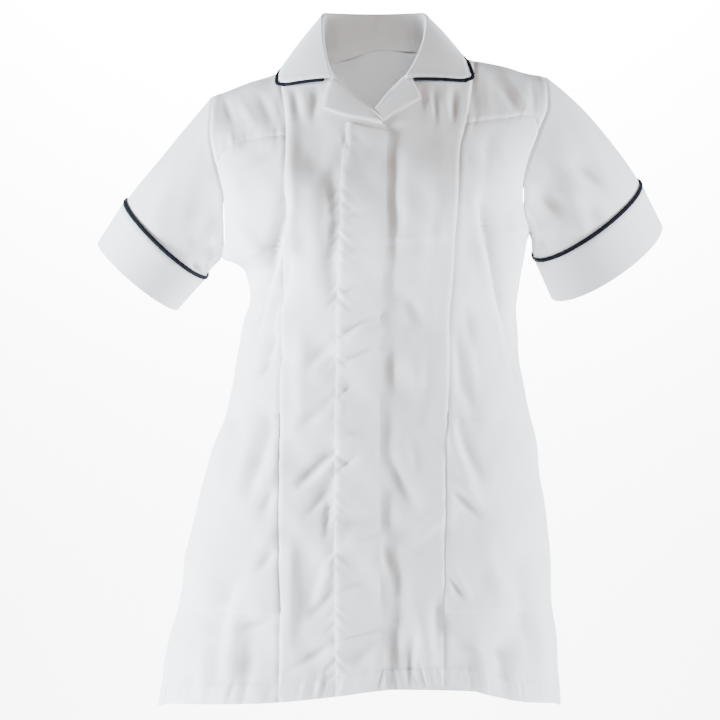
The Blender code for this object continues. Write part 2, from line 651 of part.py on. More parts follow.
def neck_share(share):
    """Level of the back's neck edge, a share of the way across."""
    return -NECK_DIP * np.sin(np.pi * share) ** 0.7


def back_panel(left_edge, right_edge, left_arm, right_arm):
    """The back.  Returns the armholes' points and normals, left and right."""
    ends = [float(left_arm(0.0)), 0.0, 0.0, float(right_arm(0.0))]
    ends[1:3] = [float(angle_at(x, np.array(0.0))) for x in (NECK_POINT_LEFT, NECK_POINT_RIGHT)]
    ends = [(angle - ends[0]) / (ends[3] - ends[0]) for angle in ends]
    share = [0.0]
    for low, high, count in zip(ends[:-1], ends[1:], BACK_COLUMNS):
        share += [low + (high - low) * step / count for step in range(1, count + 1)]
    share = np.array(share)

    def first(level):
        return np.where(level < ARMPIT_LEVEL, -left_edge(level), left_arm(level))

    def last(level):
        return np.where(level < ARMPIT_LEVEL, 2 * math.pi - right_edge(level), right_arm(level))

    neck = neck_share(np.clip((share - ends[1]) / (ends[2] - ends[1]), 0, 1))
    flat = np.ones_like(share)
    mouths = POCKET_LEFT[-1][1] + (POCKET_RIGHT[-1][1] - POCKET_LEFT[-1][1]) * share
    lines = [hem_level(-across(first, last, HEM_BACK, share)), flat * POCKET_BOTTOM, mouths]
    levels = bands(lines + [flat * ARMPIT_LEVEL, flat * BACK_YOKE_LEVEL, neck])
    points, normals = body_with_normal(-across(first, last, levels, share), levels)
    wall("back", trim(points, bottom=False), normals)
    armpit = sum(ROWS[:3])
    return [(points[armpit + 1 : -1, column], normals[armpit + 1 : -1, column]) for column in (0, -1)]


def sleeve_frame(hand, row):
    """Centre, long way, upward and forward directions and half sizes of a sleeve ring."""
    ring = dict(zip(RING_COLUMNS, row))
    outward = 1 if hand == "left" else -1
    slope = math.radians(ring["slope"])
    turn = math.radians(ring["turn"])
    cut = math.radians(ring["cut"])
    centre = np.array([ring["x"], ring["y"], ring["z"]])
    seen = np.array([outward * math.cos(slope), 0, -math.sin(slope)])
    long_way = unit(seen * math.cos(turn) + np.array([0, math.sin(turn), 0]))
    upward = np.array([outward * math.sin(cut), 0, math.cos(cut)])
    forward = unit(np.cross(upward, long_way)) * -outward
    return centre, long_way, upward * ring["across"], forward * ring["deep"]


def ring_points(frame, turn):
    """Points of a sleeve ring at these turns from its top over the front."""
    centre, _, upward, forward = frame
    return centre + np.cos(turn)[:, None] * upward + np.sin(turn)[:, None] * forward


def ring_turns(line):
    """Turn round the sleeve of each armhole point, by its share of each half's length."""
    length = np.linalg.norm(np.diff(np.concatenate([line, line[:1]]), axis=0), axis=1)
    run = np.concatenate([[0], np.cumsum(length)])
    bottom = int(np.argmin(line[:, 2]))
    front = np.pi * run[: bottom + 1] / run[bottom]
    rear = np.pi + np.pi * (run[bottom + 1 : -1] - run[bottom]) / (run[-1] - run[bottom])
    return np.concatenate([front, rear])


def sleeve_rise(folds, turn, reach):
    """Rise of the sleeve's folds at each turn and each reach."""
    degrees = np.degrees(turn)
    total = np.zeros((len(reach), len(turn)))
    for at, place, wide, long, rise in folds:
        away = (degrees - at + 180) % 360 - 180
        total += rise * np.exp(-(((reach[:, None] - place) / long) ** 2) - (away / wide) ** 2)
    fade = np.clip(reach * 5, 0, 1) * np.clip((1 - reach) * 5, 0, 1)
    return total * fade[:, None]


def seam_clearance(leave, beyond):
    """How far from a panel's edge a wall may start that leaves it in another direction."""
    cosine = (leave * beyond).sum(1)
    sine = np.sqrt(np.clip(1 - cosine**2, 1e-6, 1))
    half = CLOTH / 2
    straight = np.where(cosine > 0.05, (SEAM_GAP + half * sine) / np.maximum(cosine, 0.05), 1.0)
    over = (SEAM_GAP + half + half * np.abs(cosine)) / sine
    return np.minimum(straight, over) + SEAM_GAP


def sleeve(hand, front_arm, back_arm, rings, folds):
    """Sleeve, cuff and cuff piping of one side."""
    line = np.concatenate([front_arm[0], back_arm[0]])
    arm_normal = np.concatenate([front_arm[1], back_arm[1]])
    turn = ring_turns(line)
    frames = [sleeve_frame(hand, row) for row in rings]
    piping = ring_points(frames[0], turn)
    hem = ring_points(frames[1], turn)
    chord = piping - line
    length = np.linalg.norm(chord, axis=1, keepdims=True)
    radial = unit(line - line.mean(axis=0))
    bulge = CAP_BULGE[hand] * (0.5 + 0.5 * np.cos(turn))[:, None]
    leave = unit(unit(chord) + bulge * radial)
    beyond = unit(np.cross(np.roll(line, -1, 0) - np.roll(line, 1, 0), arm_normal))
    beyond = beyond * np.sign((beyond[0] * leave[0]).sum())
    over = np.clip(1.2 - 2 * (leave * beyond).sum(1, keepdims=True), 0, 1) * LAYER
    start = line + leave * seam_clearance(leave, beyond)[:, None] + arm_normal * over
    reach = np.linspace(0, 1, SLEEVE_ROWS + 1)
    t = reach[:, None, None]
    upper = (1 + 2 * t) * (1 - t) ** 2 * start + t * (1 - t) ** 2 * leave * length
    upper = upper + t * t * (3 - 2 * t) * piping + t * t * (t - 1) * frames[0][1] * length
    lower = [piping + (hem - piping) * step / CUFF_ROWS for step in range(1, CUFF_ROWS + 1)]
    points = np.concatenate([upper, lower])
    normals = grid_normals(points, ring=True)
    normals = normals * np.sign((normals[-1] * (points[-1] - points[-1].mean(0))).sum())
    points[: SLEEVE_ROWS + 1] += normals[: SLEEVE_ROWS + 1] * sleeve_rise(folds, turn, reach)[..., None]
    wall(f"sleeve_{hand}", points, normals, ring=True)
    cuff = points[SLEEVE_ROWS:]
    cuff_normals = normals[SLEEVE_ROWS:].copy()
    cuff_normals[0] = cuff_normals[1]
    wall(f"cuff_{hand}", cuff + cuff_normals * LAYER, cuff_normals, ring=True)
    inward = unit(points[SLEEVE_ROWS - 1] - points[SLEEVE_ROWS])
    above = points[SLEEVE_ROWS] + inward * (PIPING_RADIUS + SEAM_GAP)
    above = above + normals[SLEEVE_ROWS] * (CLOTH / 2 + SEAM_GAP + PIPING_RADIUS)
    tube(f"cuff_piping_{hand}", above, normals[SLEEVE_ROWS], PIPING_RADIUS, True)


def collar_column(name, at):
    """One column of the collar's table, as a smooth curve over its stations."""
    rows = [(index, *row) for index, row in enumerate(COLLAR)]
    return through(rows, 1 + COLLAR_COLUMNS.index(name), at)


def collar_half(hand, at):
    """Roll line, neck seam and outer edge on one side of the collar."""
    sign = 1 if hand == "left" else -1
    shift = collar_column("shift", at)
    side = shift + sign * collar_column("roll_x", at)
    roll = np.stack([side, collar_column("roll_y", at), collar_column("roll_z", at)], 1)
    opening = seam_angle(FRONT_EDGE_LEFT if hand == "left" else FRONT_EDGE_RIGHT, 1, 240)
    share = collar_column("seam_share", at)
    middle = (NECK_POINT_LEFT + NECK_POINT_RIGHT) / 2
    point_x = NECK_POINT_LEFT if hand == "left" else NECK_POINT_RIGHT
    behind = share < 0.999
    level = np.where(behind, neck_share(0.5 + 0.5 * share), collar_column("seam_level", at))
    angle = np.where(behind, -angle_at(middle + (point_x - middle) * share, level), opening(level))
    seam, seam_normal = body_with_normal(angle, level)
    seam = seam + seam_normal * COLLAR_SEAM_LIFT
    reach = collar_column("edge_reach", at)
    side = collar_column("edge_shift", at) + sign * collar_column("edge_x", at)
    level = np.minimum(-np.abs(reach) - COLLAR_TILT * side * collar_column("even", at), 0)
    angle = angle_at(side, level)
    edge, normal = body_with_normal(np.where(reach > 0, -angle, angle), level)
    return roll, seam, edge + normal * COLLAR_EDGE_LIFT


def collar():
    """The folded collar and its piping."""
    at = np.linspace(0, len(COLLAR) - 1, COLLAR_STATIONS + 1)
    left = collar_half("left", at)
    right = collar_half("right", at)
    roll, seam, cord = (np.concatenate([r[::-1], l[1:]]) for r, l in zip(right, left))
    ahead = unit(np.gradient(roll, axis=0))
    up = roll - (seam + cord) / 2
    up = unit(up - ahead * (up * ahead).sum(1, keepdims=True))
    out = unit(np.cross(up, ahead))
    out = out * np.sign((out * (cord - seam)).sum(1, keepdims=True))
    crease = roll - up * COLLAR_FOLD
    inner_top = crease - out * COLLAR_FOLD
    outer_top = crease + out * COLLAR_FOLD
    lead = (outer_top + cord) / 2 + out * COLLAR_BULGE
    edge = cord - unit(cord - lead) * PIPING_STEP
    rows = [seam + (inner_top - seam) * step / STAND_POINTS for step in range(STAND_POINTS)]
    for step in range(ROLL_POINTS + 1):
        turn = math.pi * step / ROLL_POINTS
        rows.append(crease + COLLAR_FOLD * (math.sin(turn) * up - math.cos(turn) * out))
    for step in range(1, FALL_POINTS + 1):
        share = step / FALL_POINTS
        rows.append((1 - share) ** 2 * outer_top + 2 * share * (1 - share) * lead + share**2 * edge)
    points = np.array(rows)
    normals = grid_normals(points)
    normals = normals * np.sign((normals[-2] * out).sum())
    wall("collar", points, normals)
    ends = [collar_end(points, normals, index, inside) for index, inside in ((0, 1), (-1, -2))]
    for index, end in ((0, ends[0]), (-1, ends[1])):
        cord[index] = edge[index] + mitre(cord[index] - edge[index], end[2])
    path = np.concatenate([ends[0][0], cord, ends[1][0][::-1]])
    outward = np.concatenate([ends[0][1], normals[-1], ends[1][1][::-1]])
    tube("collar_piping", path, outward, PIPING_RADIUS, False)


def mitre(first, second):
    """How far outside a corner the cords of its two edges meet."""
    first = unit(first)
    second = unit(second)
    return PIPING_STEP * (first + second) / (1 + (first * second).sum())


def collar_end(points, normals, index, inside):
    """The piping's line along one end of the collar, from the notch to the corner."""
    fall = points[-FALL_POINTS - 1 :, index]
    along = unit(np.gradient(fall, axis=0))
    outside = fall - points[-FALL_POINTS - 1 :, inside]
    outside = unit(outside - along * (outside * along).sum(1, keepdims=True)) * PIPING_STEP
    line = fall + outside
    run = np.arange(FALL_POINTS + 1) / FALL_POINTS
    at = [NOTCH_SHARE] + [share for share in run[:-1] if share > NOTCH_SHARE]
    path = np.stack([np.interp(at, run, line[:, k]) for k in range(3)], 1)
    face = np.stack([np.interp(at, run, normals[-FALL_POINTS - 1 :, index, k]) for k in range(3)], 1)
    return path, face, outside[-1]


def lapel(hand, rows, front_edge):
    """One revers: rolled over at the front's edge and laid back on the front."""
    columns = {name: np.array([row[i] for row in rows]) for i, name in enumerate(LAPEL_COLUMNS)}
    columns["roll_x"] = through(front_edge, 1, columns["roll_z"])
    roll, roll_normal = body_with_normal(*find_front(columns["roll_x"], columns["roll_z"]))
    ahead = unit(np.gradient(roll, axis=0))
    inward = unit(np.cross(ahead, roll_normal))
    flat = find_front(columns["edge_x"], columns["edge_z"])
    inward = inward * -np.sign((inward * (body(*flat) - roll)).sum(1, keepdims=True))
    radius = LAPEL_LIFT / 2
    lines = []
    for step in range(LAPEL_TURN + 1):
        turn = math.pi * step / LAPEL_TURN
        swing = math.sin(turn) * inward + (1 - math.cos(turn)) * roll_normal
        lines.append(roll + inward * CLOTH / 2 + radius * swing)
    for step in range(1, LAPEL_ACROSS + 1):
        share = step / LAPEL_ACROSS
        x = columns["roll_x"] * (1 - share) + columns["edge_x"] * share
        z = columns["roll_z"] * (1 - share) + columns["edge_z"] * share
        point, normal = body_with_normal(*find_front(x, z))
        height = LAPEL_LIFT + LAPEL_PUFF * math.sin(math.pi * share)
        lines.append(point + normal * height)
    points = np.array(lines)
    normals = grid_normals(points)
    normals = normals * np.sign((normals[-1] * roll_normal).sum())
    wall(f"lapel_{hand}", points, normals)


def main():
    for old in list(bpy.data.objects):
        bpy.data.objects.remove(old)
    princess_right = seam_angle(PRINCESS_RIGHT, 1)
    princess_left = seam_angle(PRINCESS_LEFT, 1)
    edge_right = side_edge("right", ARMHOLE_RIGHT, 1)
    edge_left = side_edge("left", ARMHOLE_LEFT, 1)
    *arm_right, yoke_right = side_panels("right", princess_right, edge_right, YOKE_RIGHT, POCKET_RIGHT)
    *arm_left, yoke_left = side_panels("left", princess_left, edge_left, YOKE_LEFT, POCKET_LEFT)
    front_right(princess_right, yoke_right, POCKET_RIGHT)
    front_left(princess_left, yoke_left, POCKET_LEFT)
    rear_left, rear_right = back_panel(
        edge_left, edge_right, seam_angle(ARMHOLE_LEFT, 2, 160), seam_angle(ARMHOLE_RIGHT, 2, 160)
    )
    sleeve("right", arm_right, rear_right, SLEEVE_RIGHT, SLEEVE_FOLDS_RIGHT)
    sleeve("left", arm_left, rear_left, SLEEVE_LEFT, SLEEVE_FOLDS_LEFT)
    collar()
    lapel("right", LAPEL_RIGHT, FRONT_EDGE_RIGHT)
    lapel("left", LAPEL_LEFT, FRONT_EDGE_LEFT)


main()
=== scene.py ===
"""Looks of the white medical blouse: fine cloth on the part's own form, with its creases.

The trunk's panels are patches of one body surface, as in the part.  Sizes are in metres, apart
from the tables of the trunk's folds and creases.  +Z is up, the front faces -Y and the wearer's
left is +X.
"""

import json
import math

import bpy
import numpy as np

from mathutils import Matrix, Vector

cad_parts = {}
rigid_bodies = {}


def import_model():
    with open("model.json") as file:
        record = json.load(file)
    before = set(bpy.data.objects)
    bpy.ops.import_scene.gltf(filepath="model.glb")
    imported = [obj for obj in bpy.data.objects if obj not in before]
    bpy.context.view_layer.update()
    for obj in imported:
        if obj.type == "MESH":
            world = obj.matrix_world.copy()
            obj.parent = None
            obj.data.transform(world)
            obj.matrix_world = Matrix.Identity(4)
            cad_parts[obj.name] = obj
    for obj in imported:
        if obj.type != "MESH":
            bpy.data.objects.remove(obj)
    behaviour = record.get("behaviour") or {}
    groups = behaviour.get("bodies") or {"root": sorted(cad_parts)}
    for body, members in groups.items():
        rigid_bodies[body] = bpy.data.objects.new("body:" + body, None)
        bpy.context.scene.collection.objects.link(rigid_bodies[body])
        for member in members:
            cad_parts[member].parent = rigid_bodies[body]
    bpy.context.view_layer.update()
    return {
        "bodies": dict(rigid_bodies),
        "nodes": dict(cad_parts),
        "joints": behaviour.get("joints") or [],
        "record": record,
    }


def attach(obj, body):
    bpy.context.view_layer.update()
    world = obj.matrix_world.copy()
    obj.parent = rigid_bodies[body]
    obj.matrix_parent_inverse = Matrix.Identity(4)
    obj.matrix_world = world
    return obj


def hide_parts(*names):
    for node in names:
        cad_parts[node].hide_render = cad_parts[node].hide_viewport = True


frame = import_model()

# Cloth and seams
CLOTH = 0.0012
BAND_CLOTH = 0.0016
SEAM_GAP = 0.0003
GAP_SHARE = 0.55
LAYER = CLOTH + SEAM_GAP
PIPING_RADIUS = 0.0022
COLLAR_FOLD = 0.0018

# Shoulders and neck
SHOULDER_START = 0.050
SHOULDER_FALL = 0.27
SHOULDER_ROUND = 0.0001
NAPE_LIFT = 0.039
NAPE_WIDTH = 0.045
NAPE_FADE = 0.060
NAPE_START = 0.012
NECK_POINT_RIGHT = -0.064
NECK_POINT_LEFT = 0.056
NECK_DIP = 0.020

# Bust
BUST_LEVEL = -0.183
BUST_APART = 0.088
BUST_WIDTH = 0.045
BUST_HEIGHT = 0.060
BUST_RISE = 0.010

# The outline steps in under the arms: over these heights the front and back take a section
# averaged over some steps of height, and leave it near the sides (shares of the half width).
EASE_STEPS = (-0.045, -0.030, -0.015, 0.0, 0.015, 0.030, 0.045)
EASE_LEVELS = (-0.335, -0.285, -0.165, -0.125)
EASE_SIDES = (0.50, 0.72)

# Levels and heights of the lines that cross the panels
ARMPIT_LEVEL = -0.2155
BELOW_ARMPIT = ARMPIT_LEVEL - 1e-9
ARMPIT_BLEND = 0.004
BACK_YOKE_LEVEL = -0.085
POCKET_BOTTOM = -0.618
HEM_BACK = -0.730
HEM_TURN = 2.2
BREAK_AT_EDGE = -0.0968
BREAK_AT_STITCH = -0.0862
BREAK_LEFT = -0.0950

# Front opening: how deep the left front dips under the right one, and where it starts to
UNDERLAP_DEPTH = 0.0015
UNDERLAP_MARGIN = 0.003
UNDERLAP_BLEND = 0.022

BAND_TOP_GAP = 0.002
POCKET_GAPE = 0.0035
POCKET_INSET = 0.0018
POCKET_LIFT = 0.0010

# The trunk's outline at each level: the sides seen from the front, the depths seen from the
# side, how square the section is, and how far the level tilts and follows the shoulder slope.
LEVEL_COLUMNS = ("level", "right", "left", "front", "back", "round", "tilt", "slope")
LEVELS = (
    (0.0000, -0.230, 0.226, 0.000, 0.000, 0.80, 0.060, 1.00),
    (-0.0100, -0.229, 0.226, -0.025, 0.040, 0.80, 0.061, 0.98),
    (-0.0300, -0.227, 0.226, -0.048, 0.065, 0.80, 0.062, 0.90),
    (-0.0550, -0.225, 0.221, -0.067, 0.082, 0.80, 0.065, 0.72),
    (-0.0880, -0.212, 0.203, -0.089, 0.094, 0.80, 0.068, 0.52),
    (-0.1180, -0.196, 0.186, -0.106, 0.101, 0.80, 0.072, 0.34),
    (-0.1540, -0.182, 0.170, -0.124, 0.105, 0.80, 0.076, 0.16),
    (-0.1900, -0.176, 0.1645, -0.132, 0.104, 0.80, 0.080, 0.05),
    (-0.2155, -0.177, 0.166, -0.133, 0.101, 0.80, 0.080, 0.00),
    (-0.2240, -0.160, 0.163, -0.132, 0.100, 0.81, 0.076, 0.00),
    (-0.2360, -0.149, 0.161, -0.131, 0.098, 0.82, 0.070, 0.00),
    (-0.2620, -0.1455, 0.157, -0.126, 0.094, 0.84, 0.055, 0.00),
    (-0.2950, -0.153, 0.1515, -0.122, 0.091, 0.86, 0.040, 0.00),
    (-0.3340, -0.158, 0.1557, -0.120, 0.091, 0.86, 0.025, 0.00),
    (-0.3670, -0.1635, 0.160, -0.120, 0.094, 0.86, 0.012, 0.00),
    (-0.4120, -0.1747, 0.168, -0.123, 0.102, 0.85, 0.000, 0.00),
    (-0.4460, -0.187, 0.1747, -0.126, 0.109, 0.85, 0.000, 0.00),
    (-0.4900, -0.2005, 0.1815, -0.129, 0.116, 0.84, 0.000, 0.00),
    (-0.5580, -0.215, 0.1893, -0.134, 0.124, 0.84, 0.000, 0.00),
    (-0.6140, -0.225, 0.1926, -0.137, 0.129, 0.84, 0.000, 0.00),
    (-0.7030, -0.2442, 0.1994, -0.141, 0.134, 0.84, 0.000, 0.00),
    (-0.7290, -0.2486, 0.2005, -0.142, 0.136, 0.84, 0.000, 0.00),
)

# Seams of the front, as seen from the front: height, then distance to the wearer's left.
PRINCESS_RIGHT = (
    (-0.0200, -0.1110), (-0.0420, -0.1100), (-0.0790, -0.1045), (-0.1290, -0.1035),
    (-0.1730, -0.1060), (-0.2800, -0.1080), (-0.3880, -0.1097), (-0.4950, -0.1105),
    (-0.5620, -0.1109), (-0.6080, -0.1085), (-0.6750, -0.1100), (-0.7100, -0.1095),
)
PRINCESS_LEFT = (
    (-0.0060, 0.1060), (-0.0396, 0.1020), (-0.0834, 0.0942), (-0.1179, 0.0860),
    (-0.1626, 0.0838), (-0.2268, 0.0797), (-0.2910, 0.0756), (-0.3620, 0.0742),
    (-0.4418, 0.0712), (-0.6023, 0.0687), (-0.7000, 0.0676),
)
# The right front's edge: up the placket, then along the revers' roll line to the neck point.
FRONT_EDGE_RIGHT = (
    (0.0000, -0.0640), (-0.0200, -0.0560), (-0.0398, -0.0444), (-0.0770, -0.0060),
    (-0.0866, 0.0030), (-0.0968, 0.0075), (-0.1390, 0.0062), (-0.2140, 0.0045),
    (-0.2675, 0.0008), (-0.3310, -0.0013), (-0.4075, -0.0013), (-0.5135, -0.0004),
    (-0.6075, -0.0004), (-0.6706, 0.0028), (-0.7000, 0.0060),
)
# The left front's edge: the underlap, then its roll line to the neck point.
FRONT_EDGE_LEFT = (
    (0.0000, 0.0560), (-0.0160, 0.0440), (-0.0290, 0.0320), (-0.0500, 0.0130),
    (-0.0725, -0.0039), (-0.0920, -0.0240), (-0.1050, -0.0300), (-0.7000, -0.0300),
)
# The placket's stitched edge, and above the break the middle of the right front.
PLACKET_STITCH = (
    (0.0000, -0.0900), (-0.0300, -0.0720), (-0.0600, -0.0500), (-0.0838, -0.0360),
    (-0.1350, -0.0418), (-0.2120, -0.0439), (-0.2550, -0.0461), (-0.3080, -0.0472),
    (-0.3960, -0.0482), (-0.5130, -0.0492), (-0.6400, -0.0481), (-0.7000, -0.0475),
)
# Yoke seams: share of the way from princess seam to armhole, then height.
YOKE_RIGHT = (
    (0.00, -0.0985), (0.30, -0.1010), (0.55, -0.1060), (0.75, -0.1130), (0.90, -0.1240),
    (1.00, -0.1330),
)
YOKE_LEFT = (
    (0.00, -0.0857), (0.25, -0.0815), (0.45, -0.0797), (0.68, -0.0757), (0.82, -0.0779),
    (1.00, -0.0930),
)
# The hem of the front: distance to the wearer's left, then height.
HEM_FRONT = (
    (-0.2486, -0.7285), (-0.2300, -0.7215), (-0.1100, -0.7124), (-0.0566, -0.7065),
    (0.0060, -0.6984), (0.0420, -0.6975), (0.0687, -0.6955), (0.0923, -0.6994),
    (0.1130, -0.7055), (0.1530, -0.7160), (0.1900, -0.7225), (0.2005, -0.7285),
)
# Armholes: height, then distance to the side of the front edge and of the back edge.
ARMHOLE_RIGHT = (
    (-0.0480, -0.1870, -0.1870), (-0.0700, -0.1880, -0.1885), (-0.0930, -0.1876, -0.1890),
    (-0.1210, -0.1828, -0.1870), (-0.1445, -0.1773, -0.1835), (-0.1736, -0.1724, -0.1770),
    (-0.1950, -0.1718, -0.1745), (-0.2160, -0.1740, -0.1750), (-0.2296, -0.1765, -0.1765),
)
ARMHOLE_LEFT = (
    (-0.0260, 0.1840, 0.1840), (-0.0400, 0.1860, 0.1865), (-0.0630, 0.1850, 0.1870),
    (-0.0870, 0.1763, 0.1840), (-0.1060, 0.1697, 0.1780), (-0.1320, 0.1609, 0.1690),
    (-0.1520, 0.1576, 0.1640), (-0.1800, 0.1587, 0.1615), (-0.2016, 0.1658, 0.1658),
)
# Side seams: level, then degrees forward of the exact side.
SIDE_SEAM = ((-0.2155, 0.0), (-0.3300, 6.0), (-0.5000, 12.0), (-0.7300, 17.0))

# Pocket mouths: share of the way from princess seam to side seam, then height.
POCKET_RIGHT = ((0.00, -0.402), (0.15, -0.405), (0.35, -0.411), (0.60, -0.428), (1.00, -0.465))
POCKET_LEFT = ((0.00, -0.401), (0.16, -0.411), (0.30, -0.414), (0.48, -0.427), (1.00, -0.470))

# Folds of the trunk, in millimetres: three points that lead each (distance to the left, then
# height, twice more the same), half of its width, and its rise (troughs are negative).
FOLD_STEPS = 25
FOLD_ENDS = 0.12
FOLD_REACH = 2.6
MILLIMETRE = 0.001
FOLDS_FRONT = (
    (-105, -158, -113, -235, -149, -320, 8.5, -6),
    (-101, -233, -104, -280, -132, -325, 7, -4),
    (-101, -195, -121, -262, -144, -322, 8, 3.5),
    (-105, -338, -112, -346, -120, -358, 6, -2.5),
    (109, -172, 128, -250, 163, -376, 10, -8.5),
    (102, -172, 110, -230, 122, -282, 8, 4),
    (93, -290, 96, -305, 100, -325, 6, -2.5),
    (95, -360, 97, -385, 100, -408, 10, -4),
    (82, -408, 92, -445, 111, -476, 8, -4.5),
    (76, -423, 84, -458, 100, -490, 7.5, 3.5),
    (-118, -410, -128, -450, -146, -490, 9, -4),
    (-150, -672, -105, -668, -56, -645, 14, -3),
    (-78, -540, -76, -590, -80, -640, 18, -3),
    (25, -205, 30, -300, 22, -380, 16, -2.5),
    (150, -610, 135, -660, 128, -718, 15, -3.5),
)
FOLDS_BACK = (
    (-120, -150, -118, -230, -85, -330, 12, -5.5),
    (112, -140, 112, -220, 70, -335, 11, -6),
    (-145, -300, -80, -335, -20, -338, 9, -4),
    (138, -290, 85, -318, 30, -312, 8, -3.5),
    (-60, -420, -75, -550, -110, -700, 22, -6),
    (58, -430, 64, -560, 90, -705, 20, -5.5),
    (4, -480, -4, -600, -10, -715, 24, 5),
)

# Sleeve rings, from the piping line to the hem: centre, half width seen from the front, half
# depth, slope of the long way below level, slope of the ring's own cut, and backward turn.
RING_COLUMNS = ("x", "y", "z", "across", "deep", "slope", "cut", "turn")
SLEEVE_RIGHT = (
    (-0.2419, 0.012, -0.2106, 0.0610, 0.056, 52.0, 46.0, 10.0),
    (-0.2722, 0.020, -0.2498, 0.0570, 0.055, 52.0, 49.0, 9.0),
)
SLEEVE_LEFT = (
    (0.2345, 0.020, -0.1895, 0.0720, 0.062, 57.0, 53.3, 16.0),
    (0.2560, 0.032, -0.2330, 0.0730, 0.064, 60.0, 54.6, 18.0),
)
CAP_BULGE = {"right": 0.02, "left": 0.26}
# Sleeve folds: turn round the sleeve from its top (front at 90), reach along it from armhole
# to piping line, half widths of both, and rise.
SLEEVE_FOLDS_RIGHT = (
    (150.0, 0.55, 22.0, 0.30, -0.0040),
    (118.0, 0.30, 14.0, 0.25, 0.0020),
    (235.0, 0.45, 20.0, 0.30, -0.0050),
    (290.0, 0.35, 16.0, 0.22, -0.0030),
)
SLEEVE_FOLDS_LEFT = (
    (104.0, 0.38, 15.0, 0.20, -0.0060),
    (76.0, 0.48, 11.0, 0.20, 0.0040),
    (62.0, 0.52, 10.0, 0.16, -0.0035),
    (230.0, 0.45, 20.0, 0.30, -0.0060),
    (285.0, 0.38, 15.0, 0.22, -0.0035),
)

# Collar, from the middle of the back to its front end.  Each row: shift of the roll line's
# middle; the roll line (side, y, z); the neck seam (share of the way to the neck point across
# the back, then level down the front's edge); the outer edge on the trunk (side, and how far
# below the shoulder line, negative on the front), and how far that edge ignores the tilt.
COLLAR_COLUMNS = (
    "shift", "roll_x", "roll_y", "roll_z", "seam_share", "seam_level",
    "edge_shift", "edge_x", "edge_reach", "even",
)
COLLAR = (
    (-0.0060, 0.0000, 0.056, 0.0485, 0.00, 0.000, -0.0060, 0.000, 0.040, 0.0),
    (-0.0062, 0.0205, 0.053, 0.0485, 0.36, 0.000, -0.0065, 0.030, 0.034, 0.0),
    (-0.0066, 0.0408, 0.043, 0.0480, 0.70, 0.000, -0.0080, 0.062, 0.022, 0.0),
    (-0.0068, 0.0542, 0.026, 0.0465, 0.93, 0.000, -0.0095, 0.085, 0.010, 0.0),
    (-0.0062, 0.0580, 0.004, 0.0390, 1.00, 0.000, -0.0095, 0.099, -0.001, 0.1),
    (-0.0074, 0.0560, -0.018, 0.0150, 1.00, -0.010, -0.0080, 0.105, -0.0115, 0.5),
    (-0.0100, 0.0480, -0.043, -0.0150, 1.00, -0.022, -0.0064, 0.107, -0.0226, 0.9),
    (-0.0130, 0.0400, -0.058, -0.0342, 1.00, -0.034, -0.0056, 0.101, -0.0280, 1.0),
)
COLLAR_TILT = 0.060
COLLAR_BULGE = 0.0035
COLLAR_EDGE_LIFT = 0.0044
COLLAR_SEAM_LIFT = 0.0009
COLLAR_SEAM_TUCK = 0.0016
PIPING_GAP = 0.0008
PIPING_STEP = PIPING_RADIUS + PIPING_GAP
NOTCH_SHARE = 0.14

# Revers, from the notch through the tip to the break: height on the roll line, then the outer
# edge (distance to the left, height).
LAPEL_COLUMNS = ("roll_z", "edge_x", "edge_z")
LAPEL_RIGHT = (
    (-0.0385, -0.0570, -0.0370),
    (-0.0425, -0.0578, -0.0418),
    (-0.0500, -0.0620, -0.0560),
    (-0.0605, -0.0640, -0.0710),
    (-0.0695, -0.0420, -0.0795),
    (-0.0795, -0.0160, -0.0855),
    (-0.0860, 0.0010, -0.0895),
)
LAPEL_LEFT = (
    (-0.0345, 0.0350, -0.0362),
    (-0.0385, 0.0362, -0.0408),
    (-0.0440, 0.0405, -0.0490),
    (-0.0500, 0.0450, -0.0605),
    (-0.0560, 0.0290, -0.0700),
    (-0.0630, 0.0180, -0.0765),
    (-0.0700, 0.0095, -0.0825),
    (-0.0735, 0.0050, -0.0866),
)
LAPEL_LIFT = 0.0032
LAPEL_PUFF = 0.0006

# Fineness of the searches: step for a normal, rounds, and samples of straight and curved seams
NORMAL_STEP = 0.0008
SEARCH_ROUNDS = 30
SEAM_SAMPLES = 60
ARM_SAMPLES = 160
EDGE_SAMPLES = 240
YOKE_SAMPLES = 41

# Fineness of the cloth
ROWS = (40, 76, 66, 46, 36)
ROW_EASE = (1.0, 1.0, 0.8, 1.7, 0.9)
PLACKET_COLUMNS = 22
FRONT_COLUMNS = 38
LEFT_FRONT_COLUMNS = 60
SIDE_COLUMNS = 60
BACK_COLUMNS = (38, 72, 38)
SLEEVE_ROWS = 64
CUFF_ROWS = 16
STAND_POINTS = 14
ROLL_POINTS = 8
FALL_POINTS = 24
COLLAR_STATIONS = 84
LAPEL_TURN = 6
LAPEL_ACROSS = 24
LAPEL_ALONG = 60
TUBE_SIDES = 10
SHARP_ANGLE = math.radians(50)

# Thickness of what shows
SHOWN_CLOTH = 0.0007
SHOWN = {"placket": 0.0016, "collar": 0.0011, "lapel_right": 0.0011, "lapel_left": 0.0011}

